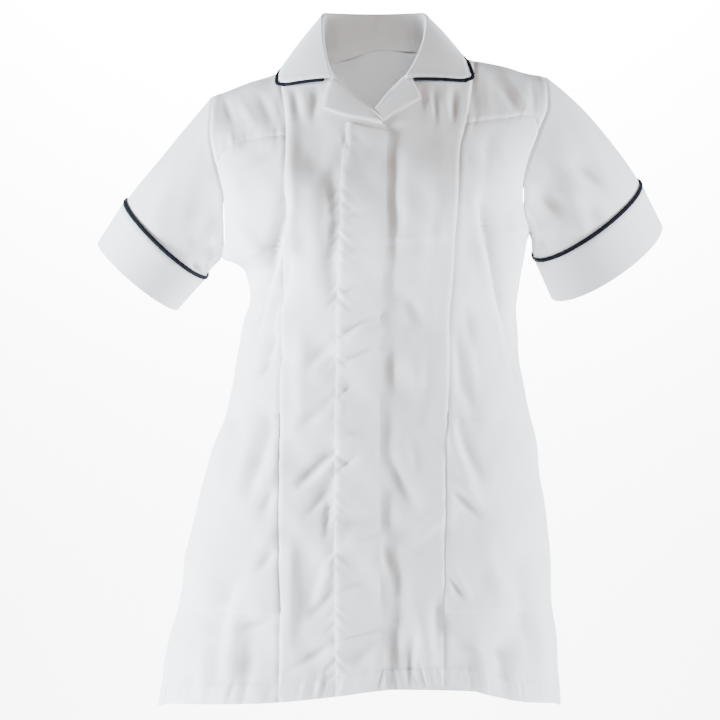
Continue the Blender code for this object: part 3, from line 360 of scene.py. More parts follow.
# Creases of the trunk, in the folds' columns and millimetres.  Below them is how much stronger
# than measured they are made, by height.
CREASES_FRONT = (
    (-93.7, -49.1, -93.7, -58.8, -90.4, -77.2, 4, -1.7),
    (-83.9, -51.3, -83.9, -62.1, -81.8, -83.7, 4, 1.3),
    (-69.9, -49.1, -71, -59.9, -74.2, -77.2, 4.9, -2.2),
    (-102.3, -51.3, -100.1, -64.2, -99.1, -85.8, 3.8, 0.9),
    (-77.5, -53.4, -77.5, -64.2, -77.5, -88, 3.4, 0.8),
    (44.5, -49.1, 46.7, -59.9, 51, -70.7, 3.4, -1.5),
    (59.7, -50.2, 60.7, -64.2, 61.8, -85.8, 4, -2),
    (80.2, -48, 81.3, -62.1, 81.3, -83.7, 4.3, -2.2),
    (52.1, -51.3, 54.3, -64.2, 56.4, -85.8, 3.6, 1.3),
    (70.5, -51.3, 71.5, -64.2, 72.6, -88, 4.3, 1.6),
    (88.8, -55.6, 86.7, -75, 83.4, -96.6, 3.4, 0.8),
    (-69.9, -69.6, -67.7, -107.4, -74.2, -145.2, 19, -2.4),
    (-96.9, -58.8, -95.8, -161.4, -95.8, -269.4, 6.2, 1.2),
    (-51.6, -139.8, -53.7, -204.6, -51.6, -280.2, 7.8, -1.3),
    (-67.7, -150.6, -69.9, -204.6, -72.1, -269.4, 10.1, 0.9),
    (-49.4, -442.1, -63.4, -452.9, -87.2, -476.7, 5, -1.9),
    (-49.4, -455.1, -67.7, -474.5, -87.2, -490.7, 5, 1.1),
    (-51.6, -474.5, -63.4, -496.1, -81.8, -512.3, 5.6, -1.3),
    (-54.8, -496.1, -58, -512.3, -59.1, -533.9, 4.5, -1.1),
    (-98, -539.3, -95.8, -604.1, -98, -647.3, 6.7, 1.1),
    (-49.4, -645.1, -67.7, -663.5, -103.4, -677.5, 5.6, -1.3),
    (-51.6, -560.9, -60.2, -577.1, -67.7, -604.1, 6.7, 1),
    (-51.6, -386, -67.7, -401.1, -87.2, -415.1, 5.6, -1),
    (-51.6, -323.4, -67.7, -336.3, -82.9, -357.9, 6.7, -0.9),
    (-87.2, -312.6, -85, -366.6, -89.3, -420.5, 9, 0.9),
    (-50.5, -593.3, -59.1, -604.1, -74.2, -617.1, 4.5, -1),
    (-46.2, -323.4, -26.7, -303.9, 0.3, -297.5, 5, -1.5),
    (-46.2, -336.3, -26.7, -319, 0.3, -312.6, 5, 0.9),
    (-44, -349.3, -26.7, -338.5, -3, -330.9, 5, -1.5),
    (-47.2, -386, -39.7, -377.4, -31, -373, 3.4, -1.1),
    (-47.2, -431.3, -36.4, -427, -24.6, -427, 3.9, 0.9),
    (-47.2, -465.9, -36.4, -455.1, -24.6, -448.6, 3.4, -1),
    (-47.2, -526.4, -26.7, -517.7, -0.8, -517.7, 10.1, -1.6),
    (-46.2, -548, -24.6, -540.4, 0.3, -536.1, 3.9, 1.3),
    (-47.2, -593.3, -33.2, -586.8, -15.9, -584.7, 3.4, -0.9),
    (-48.3, -647.3, -31, -640.8, -3, -634.3, 3.9, -1.6),
    (-35.4, -671, -18.1, -654.8, 1.4, -638.7, 11.2, -1.5),
    (-46.2, -196, -31, -187.3, -9.4, -183, 5.6, -0.8),
    (-46.2, -237, -33.2, -230.5, -20.2, -228.3, 4.5, 0.8),
    (-46.2, -275.9, -33.2, -267.2, -15.9, -262.9, 4.5, -1),
    (-40.8, -107.4, -33.2, -118.2, -31, -137.6, 4.5, 1),
    (-38.6, -94.5, -35.4, -107.4, -36.4, -124.7, 2.9, -1.4),
    (-26.7, -94.5, -15.9, -98.8, -5.1, -109.6, 5.6, 0.8),
    (-105.5, -118.2, -125, -120.4, -146.6, -134.4, 7.8, -1.3),
    (-106.6, -106.3, -110.9, -107.4, -117.4, -110.7, 2, -1.1),
    (-106.6, -113.9, -110.9, -115, -115.3, -116.1, 2, -1.1),
    (-104, -168, -111, -232, -136, -300, 5.6, -3),
    (110.5, -178, 126, -240, 152, -330, 5.6, -3),
    (-128.2, -280.2, -134.7, -301.8, -141.2, -328.8, 4.5, -1.3),
    (-114.2, -312.6, -119.6, -334.2, -128.2, -357.9, 4.5, -1.2),
    (-121.7, -301.8, -128.2, -323.4, -136.9, -347.1, 4.5, 1),
    (-117.4, -345, -127.1, -353.6, -136.9, -368.7, 5.6, -1.2),
    (-114.2, -479.9, -121.7, -496.1, -128.2, -509.1, 6.7, -1.3),
    (-113.1, -463.7, -121.7, -474.5, -132.5, -483.2, 6.7, 0.9),
    (-114.2, -548, -125, -560.9, -134.7, -573.9, 6.7, -1.3),
    (-114.2, -530.7, -123.9, -539.3, -134.7, -548, 6.7, 0.9),
    (-114.2, -622.5, -132.5, -627.9, -152, -634.3, 5.6, -1.3),
    (-152, -560.9, -171.4, -604.1, -184.4, -647.3, 19, -3),
    (-139, -409.7, -145.5, -442.1, -152, -485.3, 10.1, 1.2),
    (-189.8, -647.3, -191.9, -679.7, -195.2, -712.1, 9, 1.4),
    (-156.3, -593.3, -160.6, -636.5, -167.1, -701.3, 10.1, 1.5),
    (-141.2, -647.3, -145.5, -679.7, -147.7, -712.1, 9, -1.3),
    (-164.9, -139.8, -152, -172.2, -141.2, -210, 11.2, 1.2),
    (-169.2, -210, -156.3, -226.2, -145.5, -239.1, 6.7, -0.5),
    (-160.6, -188.4, -145.5, -211.1, -134.7, -226.2, 6.7, 0.8),
    (134.2, -310.4, 143.9, -336.3, 154.7, -366.6, 3.6, -2.2),
    (124.4, -299.6, 133.1, -328.8, 143.9, -357.9, 4.5, 1.2),
    (76.9, -487.5, 91, -501.5, 105, -512.3, 4.5, -1.6),
    (76.9, -474.5, 89.9, -485.3, 105, -496.1, 4.5, 1.2),
    (71.5, -578.2, 79.1, -587.9, 86.7, -600.9, 4.5, -1.2),
    (78, -574.9, 85.6, -584.7, 93.1, -598.7, 3.4, 1.1),
    (74.8, -647.3, 107.2, -658.1, 139.6, -663.5, 9, -1.6),
    (96.4, -334.2, 100.7, -357.9, 102.9, -388.1, 5.6, 1),
    (81.3, -323.4, 85.6, -345, 87.7, -379.5, 5.6, -1.2),
    (141.7, -183, 146, -215.4, 148.2, -258.6, 6.7, 1.3),
    (134.2, -107.4, 137.4, -139.8, 139.6, -172.2, 10.1, 1.2),
    (118, -107.4, 113.6, -139.8, 111.5, -172.2, 6.7, -1),
    (112.6, -533.9, 123.4, -571.7, 134.2, -614.9, 10.1, 1.3),
    (150.4, -560.9, 154.7, -604.1, 163.3, -668.9, 10.1, -1.6),
    (105, -647.3, 109.3, -679.7, 113.6, -707.8, 7.8, 1.3),
    (128.8, -658.1, 135.2, -685.1, 139.6, -712.1, 7.8, -1.5),
    (172, -625.7, 176.3, -668.9, 180.6, -712.1, 9, 1.4),
    (91, -118.2, 96.4, -129, 107.2, -137.6, 5.6, -0.9),
    (26.2, -96.6, 47.8, -112.8, 69.4, -118.2, 15.7, -1.9),
    (11.1, -118.2, 11.1, -183, 8.9, -258.6, 7, -0.9),
    (25.1, -280.2, 35.9, -293.1, 47.8, -310.4, 10.1, -1.5),
    (6.5, -336.3, 8.8, -351.4, 9.8, -373, 8, -1),
    (10, -458.3, 20.8, -479.9, 31.6, -501.5, 9, -1.7),
    (4.4, -545.8, 8.8, -555.5, 9.8, -567.4, 6, -0.9),
    (11.1, -556.6, 18.6, -582.5, 20.8, -614.9, 10.1, -2.2),
    (17.6, -617.1, 14.2, -647.3, 10.8, -681.8, 10, -1.8),
    (31.6, -544.7, 47.8, -525.3, 70.5, -509.1, 9, 1.6),
    (31.6, -425.9, 42.4, -447.5, 37, -469.1, 10.1, -1.3),
    (22.9, -334.2, 33.7, -355.8, 46.7, -372, 10.1, 0.9),
    (64, -150.6, 59.7, -215.4, 53.2, -280.2, 10.1, 0.9),
    (29.4, -150.6, 27.3, -204.6, 25.1, -258.6, 10.1, 0.8),
    (53.2, -323.4, 51, -366.6, 46.7, -409.7, 9, -0.9),
    (42.4, -614.9, 48.9, -647.3, 53.2, -679.7, 10.1, 1.6),
    (64, -593.3, 59.7, -625.7, 64, -668.9, 6.7, -1.3),
    (33.7, -647.3, 30.5, -671, 28.3, -694.8, 5.6, -1.5),
    (-172.5, -53.4, -169.2, -68.5, -161.7, -83.7, 4.5, -1.6),
    (-156.3, -55.6, -145.5, -72.9, -134.7, -92.3, 5.6, 1.2),
    (-134.7, -51.3, -123.9, -68.5, -117.4, -92.3, 6.7, -2.2),
    (-126.1, -90.1, -141.2, -97.7, -154.1, -110.7, 5, -2.2),
    (-113.1, -55.6, -109.9, -68.5, -107.7, -88, 3.9, -1.4),
    (-167.1, -94.5, -160.6, -103.1, -158.4, -113.9, 4.5, 0.8),
    (102.9, -31.8, 105, -53.4, 100.7, -79.3, 4.5, -1.7),
    (115.8, -34, 118, -55.6, 118, -77.2, 5.6, 1.3),
    (128.8, -36.2, 143.9, -55.6, 151.4, -77.2, 6.2, -2.3),
    (141.7, -31.8, 154.7, -51.3, 164.4, -72.9, 5, 1.2),
    (167.6, -38.3, 169.8, -55.6, 168.7, -77.2, 4.5, -1.3),
    (96.4, -58.8, 96.4, -69.6, 94.2, -83.7, 2.8, 0.7),
)
CREASES_BACK = (
    (-176, -120, -170, -170, -150, -225, 8, -2),
    (160, -120, 156, -170, 140, -220, 8, -2),
    (-100, -110, -106, -160, -104, -220, 9, 1.4),
    (96, -105, 100, -150, 96, -205, 9, 1.4),
    (-50, -60, -55, -85, -60, -120, 6, -1.3),
    (40, -56, 46, -85, 50, -125, 5.5, -1.4),
    (-10, -62, -8, -90, -12, -120, 6.5, 1),
    (-140, -270, -100, -300, -50, -305, 6, -1.8),
    (-128, -325, -80, -356, -30, -362, 6.5, -1.6),
    (142, -262, 100, -286, 60, -290, 6, -1.8),
    (128, -318, 80, -340, 45, -338, 6, -1.5),
    (-110, -345, -60, -350, 0, -352, 7, 1.6),
    (100, -300, 50, -300, 10, -318, 7, 1.5),
    (-20, -150, -18, -220, -30, -300, 12, -1.8),
    (40, -160, 46, -220, 40, -290, 11, 1.6),
    (-100, -400, -130, -500, -160, -650, 14, 2.4),
    (-30, -420, -36, -540, -50, -700, 13, 2.2),
    (30, -420, 32, -560, 44, -700, 12, 2),
    (100, -400, 118, -520, 134, -690, 14, 2.4),
    (130, -450, 150, -560, 170, -690, 10, -2.2),
    (-150, -450, -180, -560, -205, -690, 11, -2.4),
    (-118, -560, -126, -620, -132, -710, 8, -1.8),
    (70, -640, 72, -670, 74, -715, 7, -1.6),
    (-20, -650, -22, -680, -26, -718, 7, -1.5),
)
CREASE_GAIN = ((-0.73, 2.3), (-0.20, 2.1), (-0.13, 1.1), (-0.09, 0.75), (0.0, 0.75))
SLEEVE_GAIN = 2.0

# Sleeve creases: turn, reach, half widths of both, rise, and how many degrees the crease leans
# over the sleeve's whole length.
SLEEVE_CREASES_RIGHT = (
    (150.0, 0.86, 16.0, 0.10, -0.0024, 0.0),
    (128.0, 0.80, 9.0, 0.16, 0.0012, 40.0),
    (168.0, 0.60, 10.0, 0.20, -0.0016, 30.0),
    (100.0, 0.30, 16.0, 0.28, -0.0010, -20.0),
    (60.0, 0.55, 14.0, 0.30, 0.0008, 10.0),
    (176.0, 0.92, 8.0, 0.06, 0.0012, 0.0),
    (140.0, 0.20, 8.0, 0.12, 0.0012, 0.0),
    (222.0, 0.60, 9.0, 0.22, 0.0014, 20.0),
    (250.0, 0.30, 10.0, 0.18, 0.0012, -20.0),
    (205.0, 0.35, 9.0, 0.22, -0.0018, 20.0),
    (310.0, 0.55, 14.0, 0.25, 0.0010, -15.0),
)
SLEEVE_CREASES_LEFT = (
    (112.0, 0.42, 8.0, 0.24, -0.0022, -24.0),
    (92.0, 0.46, 6.0, 0.26, 0.0020, -22.0),
    (70.0, 0.50, 6.0, 0.22, -0.0018, -16.0),
    (56.0, 0.58, 6.0, 0.22, 0.0012, -14.0),
    (132.0, 0.50, 9.0, 0.22, 0.0014, -20.0),
    (150.0, 0.66, 9.0, 0.20, -0.0018, -10.0),
    (86.0, 0.80, 5.0, 0.12, -0.0012, 0.0),
    (100.0, 0.84, 5.0, 0.12, 0.0010, 0.0),
    (40.0, 0.40, 10.0, 0.30, 0.0008, 0.0),
    (215.0, 0.62, 9.0, 0.22, 0.0016, 20.0),
    (250.0, 0.32, 10.0, 0.18, 0.0014, -20.0),
    (200.0, 0.36, 9.0, 0.22, -0.0020, 20.0),
    (305.0, 0.55, 14.0, 0.25, 0.0010, -15.0),
)

# Edges that are sewn down, by how a piece's name starts
SEWN = {
    "front_": ("last", "top"),
    "side_front_": ("first", "last", "top"),
    "yoke_": ("first", "last", "top", "bottom"),
    "back": ("first", "last", "top"),
    "pocket_": ("first", "last", "bottom"),
    "placket": ("last",),
    "sleeve_": ("bottom",),
    "cuff_": ("bottom",),
    "collar": ("top", "bottom", "first", "last"),
    "lapel_": ("top",),
}
SEAM_DIP = 0.0008
SEAM_REACH = 0.0018
SEAM_PUFF = 0.00025

# Small puckers that a line of stitches pulls up: how the piece's name starts, edge, where they
# start and end along it, height, reach from the edge, distance from one to the next, and lean.
PUCKERS = (
    ("placket", "last", -0.700, -0.095, 0.00110, 0.0110, 0.0130, 0.9),
    ("front_right", "stitch", -0.700, -0.095, 0.00100, 0.0100, 0.0130, 0.9),
    ("front_right", "last", -0.700, -0.120, 0.00030, 0.0080, 0.0210, 0.3),
    ("side_front_right", "first", -0.700, -0.100, 0.00030, 0.0080, 0.0210, 0.3),
    ("front_left", "last", -0.700, -0.090, 0.00028, 0.0080, 0.0190, 0.3),
    ("side_front_left", "first", -0.700, -0.090, 0.00028, 0.0080, 0.0190, 0.3),
    ("side_front_right", "top", 0.000, 0.090, 0.00035, 0.0080, 0.0120, 0.0),
    ("yoke_right", "bottom", 0.000, 0.090, 0.00045, 0.0120, 0.0120, 0.0),
    ("side_front_left", "top", 0.000, 0.100, 0.00030, 0.0080, 0.0130, 0.0),
    ("yoke_left", "bottom", 0.000, 0.100, 0.00040, 0.0110, 0.0130, 0.0),
    ("pocket_", "top", 0.000, 0.130, 0.00040, 0.0100, 0.0190, 0.2),
    ("pocket_", "bottom", 0.000, 0.160, 0.00025, 0.0070, 0.0140, 0.0),
    ("back", "first", -0.720, -0.230, 0.00030, 0.0080, 0.0200, 0.3),
    ("back", "last", -0.720, -0.230, 0.00030, 0.0080, 0.0200, 0.3),
    ("sleeve_", "bottom", 0.000, 0.600, 0.00035, 0.0090, 0.0130, 0.2),
    ("cuff_", "bottom", 0.000, 0.600, 0.00030, 0.0070, 0.0090, 0.2),
    ("collar", "top", 0.000, 0.800, 0.00035, 0.0080, 0.0120, 0.1),
    ("collar", "first", 0.030, 0.150, 0.00045, 0.0090, 0.0090, 0.1),
    ("collar", "last", 0.030, 0.150, 0.00045, 0.0090, 0.0090, 0.1),
)

# How soon the puckers fade in and out at the ends of their line
PUCKER_FADE = 0.008

# Pieces whose columns lean along the armholes, and how small the sine of that lean may be
TRUNK = ("back", "side_front_right", "side_front_left", "yoke_right", "yoke_left")
STEEPEST_LEAN = 0.5

# Hem of the trunk
HEMMED = ("front_right", "front_left", "side_front_right", "side_front_left", "back", "placket")
HEM_DEPTH = 0.022
HEM_PUFF = 0.0008
HEM_STEP = 0.0006
HEM_DITCH = 0.0010
HEM_DITCH_WIDTH = 0.0011
HEM_PUCKER = 0.0010
HEM_PITCH = 0.0105

# Stitches: piece, edge, distance from it, and from where to where along the edge, as shares
STITCHES = (
    ("front_right", "bottom", HEM_DEPTH, 0.37, 0.99),
    ("front_left", "bottom", HEM_DEPTH, 0.28, 0.99),
    ("side_front_right", "bottom", HEM_DEPTH, 0.01, 0.99),
    ("side_front_left", "bottom", HEM_DEPTH, 0.01, 0.99),
    ("back", "bottom", HEM_DEPTH, 0.01, 0.99),
    ("placket", "bottom", HEM_DEPTH, 0.03, 0.96),
    ("placket", "last", 0.0018, 0.01, 0.99),
    ("cuff_right", "bottom", 0.0022, 0.00, 1.00),
    ("cuff_left", "bottom", 0.0022, 0.00, 1.00),
    ("collar", "top", 0.0020, 0.01, 0.99),
    ("collar", "first", 0.0020, 0.60, 0.99),
    ("collar", "last", 0.0020, 0.60, 0.99),
    ("lapel_right", "top", 0.0020, 0.02, 0.98),
    ("lapel_left", "top", 0.0020, 0.02, 0.98),
)
SEAMS = {
    "hem_stitches": ("front_right", "front_left", "side_front_right", "side_front_left", "back"),
    "placket_stitches": ("placket",),
    "cuff_stitches": ("cuff_right", "cuff_left"),
    "collar_stitches": ("collar", "lapel_right", "lapel_left"),
}
STITCH_PITCH = 0.0027
STITCH_LENGTH = 0.0021
STITCH_RADIUS = 0.00022
STITCH_SIDES = 6
# Form of a stitch: place along it, thickness and height of its middle, as shares
STITCH_FORM = ((0.0, 0.15, -0.6), (0.2, 0.8, 0.35), (0.5, 1.0, 0.55), (0.8, 0.8, 0.35), (1.0, 0.15, -0.6))

# Piping of the cuffs: half width, how flat it is pressed, how uneven and at which pitch, and for
# the collar's two end rings how far they go past the end and their size, as shares of the radius.
# Then how far a sleeve's edge is tucked under the panels' edges.
CUFF_PIPING = 0.0025
PIPING_FLAT = 0.6
PIPING_UNEVEN = 0.05
PIPING_PITCH = 0.011
PIPING_END = ((0.45, 0.02), (0.3, 0.75))
ARM_TUCK = 0.0018
ARM_SINK = 0.0009
CORNER_RADIUS = 0.009

# Slow unevenness that all cloth has: wave numbers along x and z, phase and height
UNEVEN = (
    (31.0, 54.0, 0.4, 0.00080),
    (-47.0, 83.0, 1.9, 0.00055),
    (88.0, 37.0, 3.1, 0.00042),
    (-120.0, -71.0, 5.2, 0.00026),
    (150.0, 132.0, 2.2, 0.00018),
    (210.0, -95.0, 0.9, 0.00011),
)

# The same on the sleeves: waves round them and down them, phase and height
SLEEVE_UNEVEN = ((5, 9, 0, 0.00025), (9, -14, 1, 0.00018))

# Over which shares of a sleeve's length its folds fade out at the armhole and at the cuff
SLEEVE_FADES = (1 / 6, 1 / 8)

# Colours
WHITE = (0.885, 0.876, 0.871, 1.0)
WHITE_SHADE = (0.82, 0.808, 0.80, 1.0)
NAVY = (0.0020, 0.0026, 0.0090, 1.0)
NAVY_SHADE = (0.0010, 0.0013, 0.0045, 1.0)
THREAD = (0.88, 0.89, 0.91, 1.0)

# Cloths: use, name, colour, shade, roughness, thread pitch, weave and nap heights, sheen
CLOTHS = (
    ("cloth", "white_poly_cotton", WHITE, WHITE_SHADE, 0.82, 0.0009, 0.5, 0.8, 0.10),
    ("piping", "navy_piping_cloth", NAVY, NAVY_SHADE, 0.85, 0.0007, 0.8, 0.8, 0.0),
    ("thread", "white_thread", THREAD, WHITE_SHADE, 0.60, 0.0004, 0.5, 0.5, 0.05),
)

# Noises of the cloth's nap, rumples and tone, and the darker gaps between its threads
FUZZ = {"Scale": 650.0, "Detail": 3.0}
SOFT = {"Scale": 42.0, "Detail": 4.0, "Roughness": 0.55}
SLOW = {"Scale": 9.0, "Detail": 2.0}
THREAD_GAPS = {"From Min": -1.0, "From Max": -0.2, "To Min": 0.93, "To Max": 1.0}
WEAVE_HEIGHT = 0.00006
RUMPLE = 0.35
RUMPLE_HEIGHT = 0.0010

# Shade painted into the creases, from how hollow the cloth is there: how far across they are sought, how
# tight a crease is darkest, how strong the painted shade is, how often it is softened, and its colour
TROUGH_REACH = 0.007
TROUGH_CURVE = 75.0
PAINTED_SHADE_STRENGTH = 0.5
TROUGH_SOFT = 3
PAINTED_SHADE_COLOUR = (0.38, 0.33, 0.30, 1.0)

# Studio
PHOTO_WIDTH = 0.8064
CAMERA_DISTANCE = 3.2
CAMERA_X = -0.0224
CAMERA_Z = -0.34496
FLOOR_Z = -1.45
BACKDROP_Y = 5.0
BACKDROP_RISE = 7.9
STAGE_SIZE = 16.0
STAGE_COLOUR = (0.90, 0.90, 0.91, 1.0)
STAGE_ROUGHNESS = 0.9
SENSOR_WIDTH = 36.0
WORLD_COLOUR = (1.0, 0.975, 0.955, 1.0)
WORLD_STRENGTH = 0.08
# name, place, target, size, power, colour
LAMPS = (
    ("lamp_right", (-2.3, -0.55, -0.40), (0, 0, -0.42), (0.6, 1.0), 300.0, (0.78, 0.89, 1.0)),
    ("lamp_left", (2.3, -0.45, -0.35), (0, 0, -0.42), (0.6, 1.0), 165.0, (0.80, 0.90, 1.0)),
    ("lamp_front", (0.35, -1.6, 0.35), (0, 0, -0.15), (0.6, 0.6), 13.0, (1.0, 0.86, 0.77)),
    ("lamp_backdrop", (0, 3.4, 1.6), (0, 5.0, -0.2), (3.0, 1.0), 1100.0, (1.0, 1.0, 1.0)),
)

# How each piece of cloth is held, and by which ones
SHEETS = (
    ("front_right", "hung", ["yoke_right", "side_front_right"]),
    ("front_left", "hung", ["yoke_left", "side_front_left"]),
    ("placket", "hung", ["front_right"]),
    ("side_front_right", "hung", ["yoke_right"]),
    ("side_front_left", "hung", ["yoke_left"]),
    ("yoke_right", "hung", ["back"]),
    ("yoke_left", "hung", ["back"]),
    ("back", "hung", ["yoke_right", "yoke_left"]),
    ("sleeve_right", "hung", ["yoke_right", "back"]),
    ("sleeve_left", "hung", ["yoke_left", "back"]),
    ("cuff_right", "hung", ["sleeve_right"]),
    ("cuff_left", "hung", ["sleeve_left"]),
    ("collar", "folded", ["back"]),
    ("lapel_right", "folded", ["front_right"]),
    ("lapel_left", "folded", ["front_left"]),
    ("pocket_right", "hung", ["side_front_right"]),
    ("pocket_left", "hung", ["side_front_left"]),
)

MATERIALS = {}
GRIDS = {}


def curve(t, start, leaving, end, arriving):
    """A smooth curve from start to end with these ways of leaving and arriving."""
    first = (1 + 2 * t) * (1 - t) ** 2 * start + t * (1 - t) ** 2 * leaving
    return first + t * t * (3 - 2 * t) * end + t * t * (t - 1) * arriving


def through(rows, column, at):
    """A smooth curve through one column of a table, which never overshoots the rows."""
    table = np.array(rows, float)
    table = table[np.argsort(table[:, 0])]
    knots = table[:, 0]
    values = table[:, column]
    steps = np.diff(knots)
    slopes = np.diff(values) / steps
    product = slopes[:-1] * slopes[1:]
    total = slopes[:-1] + slopes[1:]
    tangents = np.zeros_like(values)
    tangents[1:-1] = np.where(product > 0, 2 * product / np.where(total == 0, 1, total), 0)
    tangents[0] = slopes[0]
    tangents[-1] = slopes[-1]
    at = np.asarray(at, float)
    i = np.clip(np.searchsorted(knots, at) - 1, 0, len(steps) - 1)
    t = np.clip((at - knots[i]) / steps[i], 0, 1)
    ways = tangents[i] * steps[i], tangents[i + 1] * steps[i]
    return curve(t, values[i], ways[0], values[i + 1], ways[1])


def level_value(name, level):
    """One column of the trunk's table at any level."""
    return through(LEVELS, LEVEL_COLUMNS.index(name), level)


def unit(vectors):
    """Vectors scaled to length one."""
    length = np.linalg.norm(vectors, axis=-1, keepdims=True)
    return vectors / np.maximum(length, 1e-12)


def shoulder_drop(side):
    """How far the shoulder line falls at this distance from the middle."""
    past = np.abs(side) - SHOULDER_START
    return -SHOULDER_FALL * (np.sqrt(past**2 + SHOULDER_ROUND) + past) / 2


def underarm_ease(x, level, cosine, power, deep):
    """How much fuller the section is in front and behind, so the step under the arm stays there."""
    right, left = (
        np.mean([level_value(name, level + step) for step in EASE_STEPS], axis=0)
        for name in ("right", "left")
    )
    share = np.minimum(np.abs(2 * x - left - right) / (left - right), 1) ** (1 / power)
    eased = np.sqrt(1 - share**2) ** power
    inner = (EASE_SIDES[1] - np.abs(cosine)) / (EASE_SIDES[1] - EASE_SIDES[0])
    here = np.interp(level, EASE_LEVELS, (0, 1, 1, 0)) * np.clip(inner, 0, 1)
    return (eased - deep) * here * here * (3 - 2 * here)


def plain_body(angle, level):
    """The trunk without folds.  Angle 0 is the wearer's left side and 90 degrees the front."""
    right = level_value("right", level)
    left = level_value("left", level)
    power = level_value("round", level)
    half = (left - right) / 2
    middle = (left + right) / 2
    cosine = np.cos(angle)
    sine = np.sin(angle)
    side = half * np.sign(cosine) * np.abs(cosine) ** power
    x = middle + side
    front = sine > 0
    deep = np.abs(sine) ** power
    deep = deep + underarm_ease(x, level, cosine, power, deep)
    y = np.where(front, level_value("front", level), level_value("back", level)) * deep
    apart = (np.abs(side) - BUST_APART) / BUST_WIDTH
    along = (level - BUST_LEVEL) / BUST_HEIGHT
    y = y - np.where(front, BUST_RISE * deep, 0) * np.exp(-(apart**2) - along**2)
    lift = NAPE_LIFT * np.exp(level / NAPE_FADE - (side / NAPE_WIDTH) ** 2)
    lift = np.where(front, 0, lift * np.abs(sine) ** 3 * np.minimum(1, -level / NAPE_START))
    z = level + level_value("tilt", level) * x + lift
    z = z + level_value("slope", level) * shoulder_drop(side)
    return np.stack([x, y, z], axis=-1)


def surface_normal(surface, angle, level):
    """Outward normal of a surface given by angle and level."""
    around = surface(angle + NORMAL_STEP, level) - surface(angle - NORMAL_STEP, level)
    upper = np.minimum(level + NORMAL_STEP, -0.0001)
    along = surface(angle, upper) - surface(angle, upper - NORMAL_STEP)
    none = np.zeros_like(level)
    ridge = np.stack([none, np.where(np.sin(angle) > 0, 1.0, -1.0), none], -1)
    along = np.where((level > -0.0005)[..., None], ridge, unit(along))
    return unit(np.cross(along, around))


def fold_rise(point, front):
    """Rise of all the trunk's folds and creases at a point."""
    total = np.zeros(point.shape[:-1])
    x = point[..., 0]
    z = point[..., 2]
    faces = (front, FOLDS_FRONT, CREASES_FRONT), (~front, FOLDS_BACK, CREASES_BACK)
    for face, folds, creases in faces:
        creases = np.array(creases)
        creases[:, 7] *= np.interp(creases[:, 3] * MILLIMETRE, *zip(*CREASE_GAIN))
        for row in MILLIMETRE * np.concatenate([folds, creases]):
            ends = row[:6].reshape(3, 2)
            width, rise = row[6:]
            low = ends.min(axis=0) - FOLD_REACH * width
            high = ends.max(axis=0) + FOLD_REACH * width
            here = face & (x > low[0]) & (x < high[0]) & (z > low[1]) & (z < high[1])
            if not here.any():
                continue
            nearest = np.full(int(here.sum()), np.inf)
            place = np.zeros_like(nearest)
            for share in np.linspace(0, 1, FOLD_STEPS):
                weights = (1 - share) ** 2, 2 * share * (1 - share), share**2
                at_x, at_z = np.dot(weights, ends)
                distance = np.hypot(x[here] - at_x, z[here] - at_z)
                place = np.where(distance < nearest, share, place)
                nearest = np.minimum(nearest, distance)
            taper = np.sin(np.pi * (FOLD_ENDS + (1 - 2 * FOLD_ENDS) * place))
            total[here] += rise * taper * np.exp(-((nearest / width) ** 2))
    for along_x, along_z, phase, height in UNEVEN:
        total = total + height * np.sin(along_x * x + along_z * z + phase)
    return total


def body(angle, level):
    """The trunk with its folds."""
    angle, level = np.broadcast_arrays(np.asarray(angle, float), np.asarray(level, float))
    point = plain_body(angle, level)
    rise = fold_rise(point, np.sin(angle) > 0)
    return point + surface_normal(plain_body, angle, level) * rise[..., None]


def body_with_normal(angle, level):
    """Points of the trunk and the normals there, from the grid itself where it is one."""
    angle, level = np.broadcast_arrays(np.asarray(angle, float), np.asarray(level, float))
    points = body(angle, level)
    if points.ndim == 3:
        normals = grid_normals(points)
        away = (points - points.mean(axis=(0, 1)) * (0, 0, 1)) * (1, 1, 0)
        normals = normals * np.sign((normals * away).sum())
        slanted = slant(points)
        if slanted.any():
            normals[slanted] = surface_normal(body, angle[slanted], level[slanted])
        return points, normals
    return points, surface_normal(body, angle, level)


def find_front(x, z):
    """Angle and level of the front's point that is seen at x and z."""
    x, z = np.broadcast_arrays(np.asarray(x, float), np.asarray(z, float))
    level = np.minimum(z, 0.0)
    for _ in range(SEARCH_ROUNDS):
        middle = (level_value("left", level) + level_value("right", level)) / 2
        tilt = level_value("tilt", level) * x
        level = z - tilt - level_value("slope", level) * shoulder_drop(x - middle)
        level = np.minimum(level, 0.0)
    return angle_at(x, level), level


def angle_at(x, level):
    """Angle of the front's point at x on this level."""
    right = level_value("right", level)
    left = level_value("left", level)
    share = np.clip((x - (left + right) / 2) / ((left - right) / 2), -1, 1)
    return np.arccos(np.sign(share) * np.abs(share) ** (1 / level_value("round", level)))


def seam_angle(rows, column, samples=SEAM_SAMPLES):
    """A seam given by height and x, as a function from level to angle."""
    heights = np.linspace(rows[-1][0], rows[0][0], samples)
    angles, levels = find_front(through(rows, column, heights), heights)
    order = np.argsort(levels)
    return lambda level: np.interp(level, levels[order], angles[order])


def side_edge(hand, armhole, column):
    """The outer edge of a side panel: side seam below the armpit, armhole above it."""
    arm = seam_angle(armhole, column, ARM_SAMPLES)
    exact_side = 0.0 if hand == "left" else math.pi

    def edge(level):
        forward = np.radians(through(SIDE_SEAM, 1, level))
        seam = exact_side + forward * (1 if hand == "left" else -1)
        above = np.clip((level - ARMPIT_LEVEL) / ARMPIT_BLEND, 0, 1)
        return seam * (1 - above) + arm(level) * above

    return edge


def hem_level(angle):
    """Level of the hem at this angle."""
    x = plain_body(angle, np.full_like(angle, HEM_BACK))[..., 0]
    front = through(HEM_FRONT, 1, x)
    share = np.clip(0.5 + HEM_TURN * np.sin(angle), 0, 1)
    return HEM_BACK + (front - HEM_BACK) * share


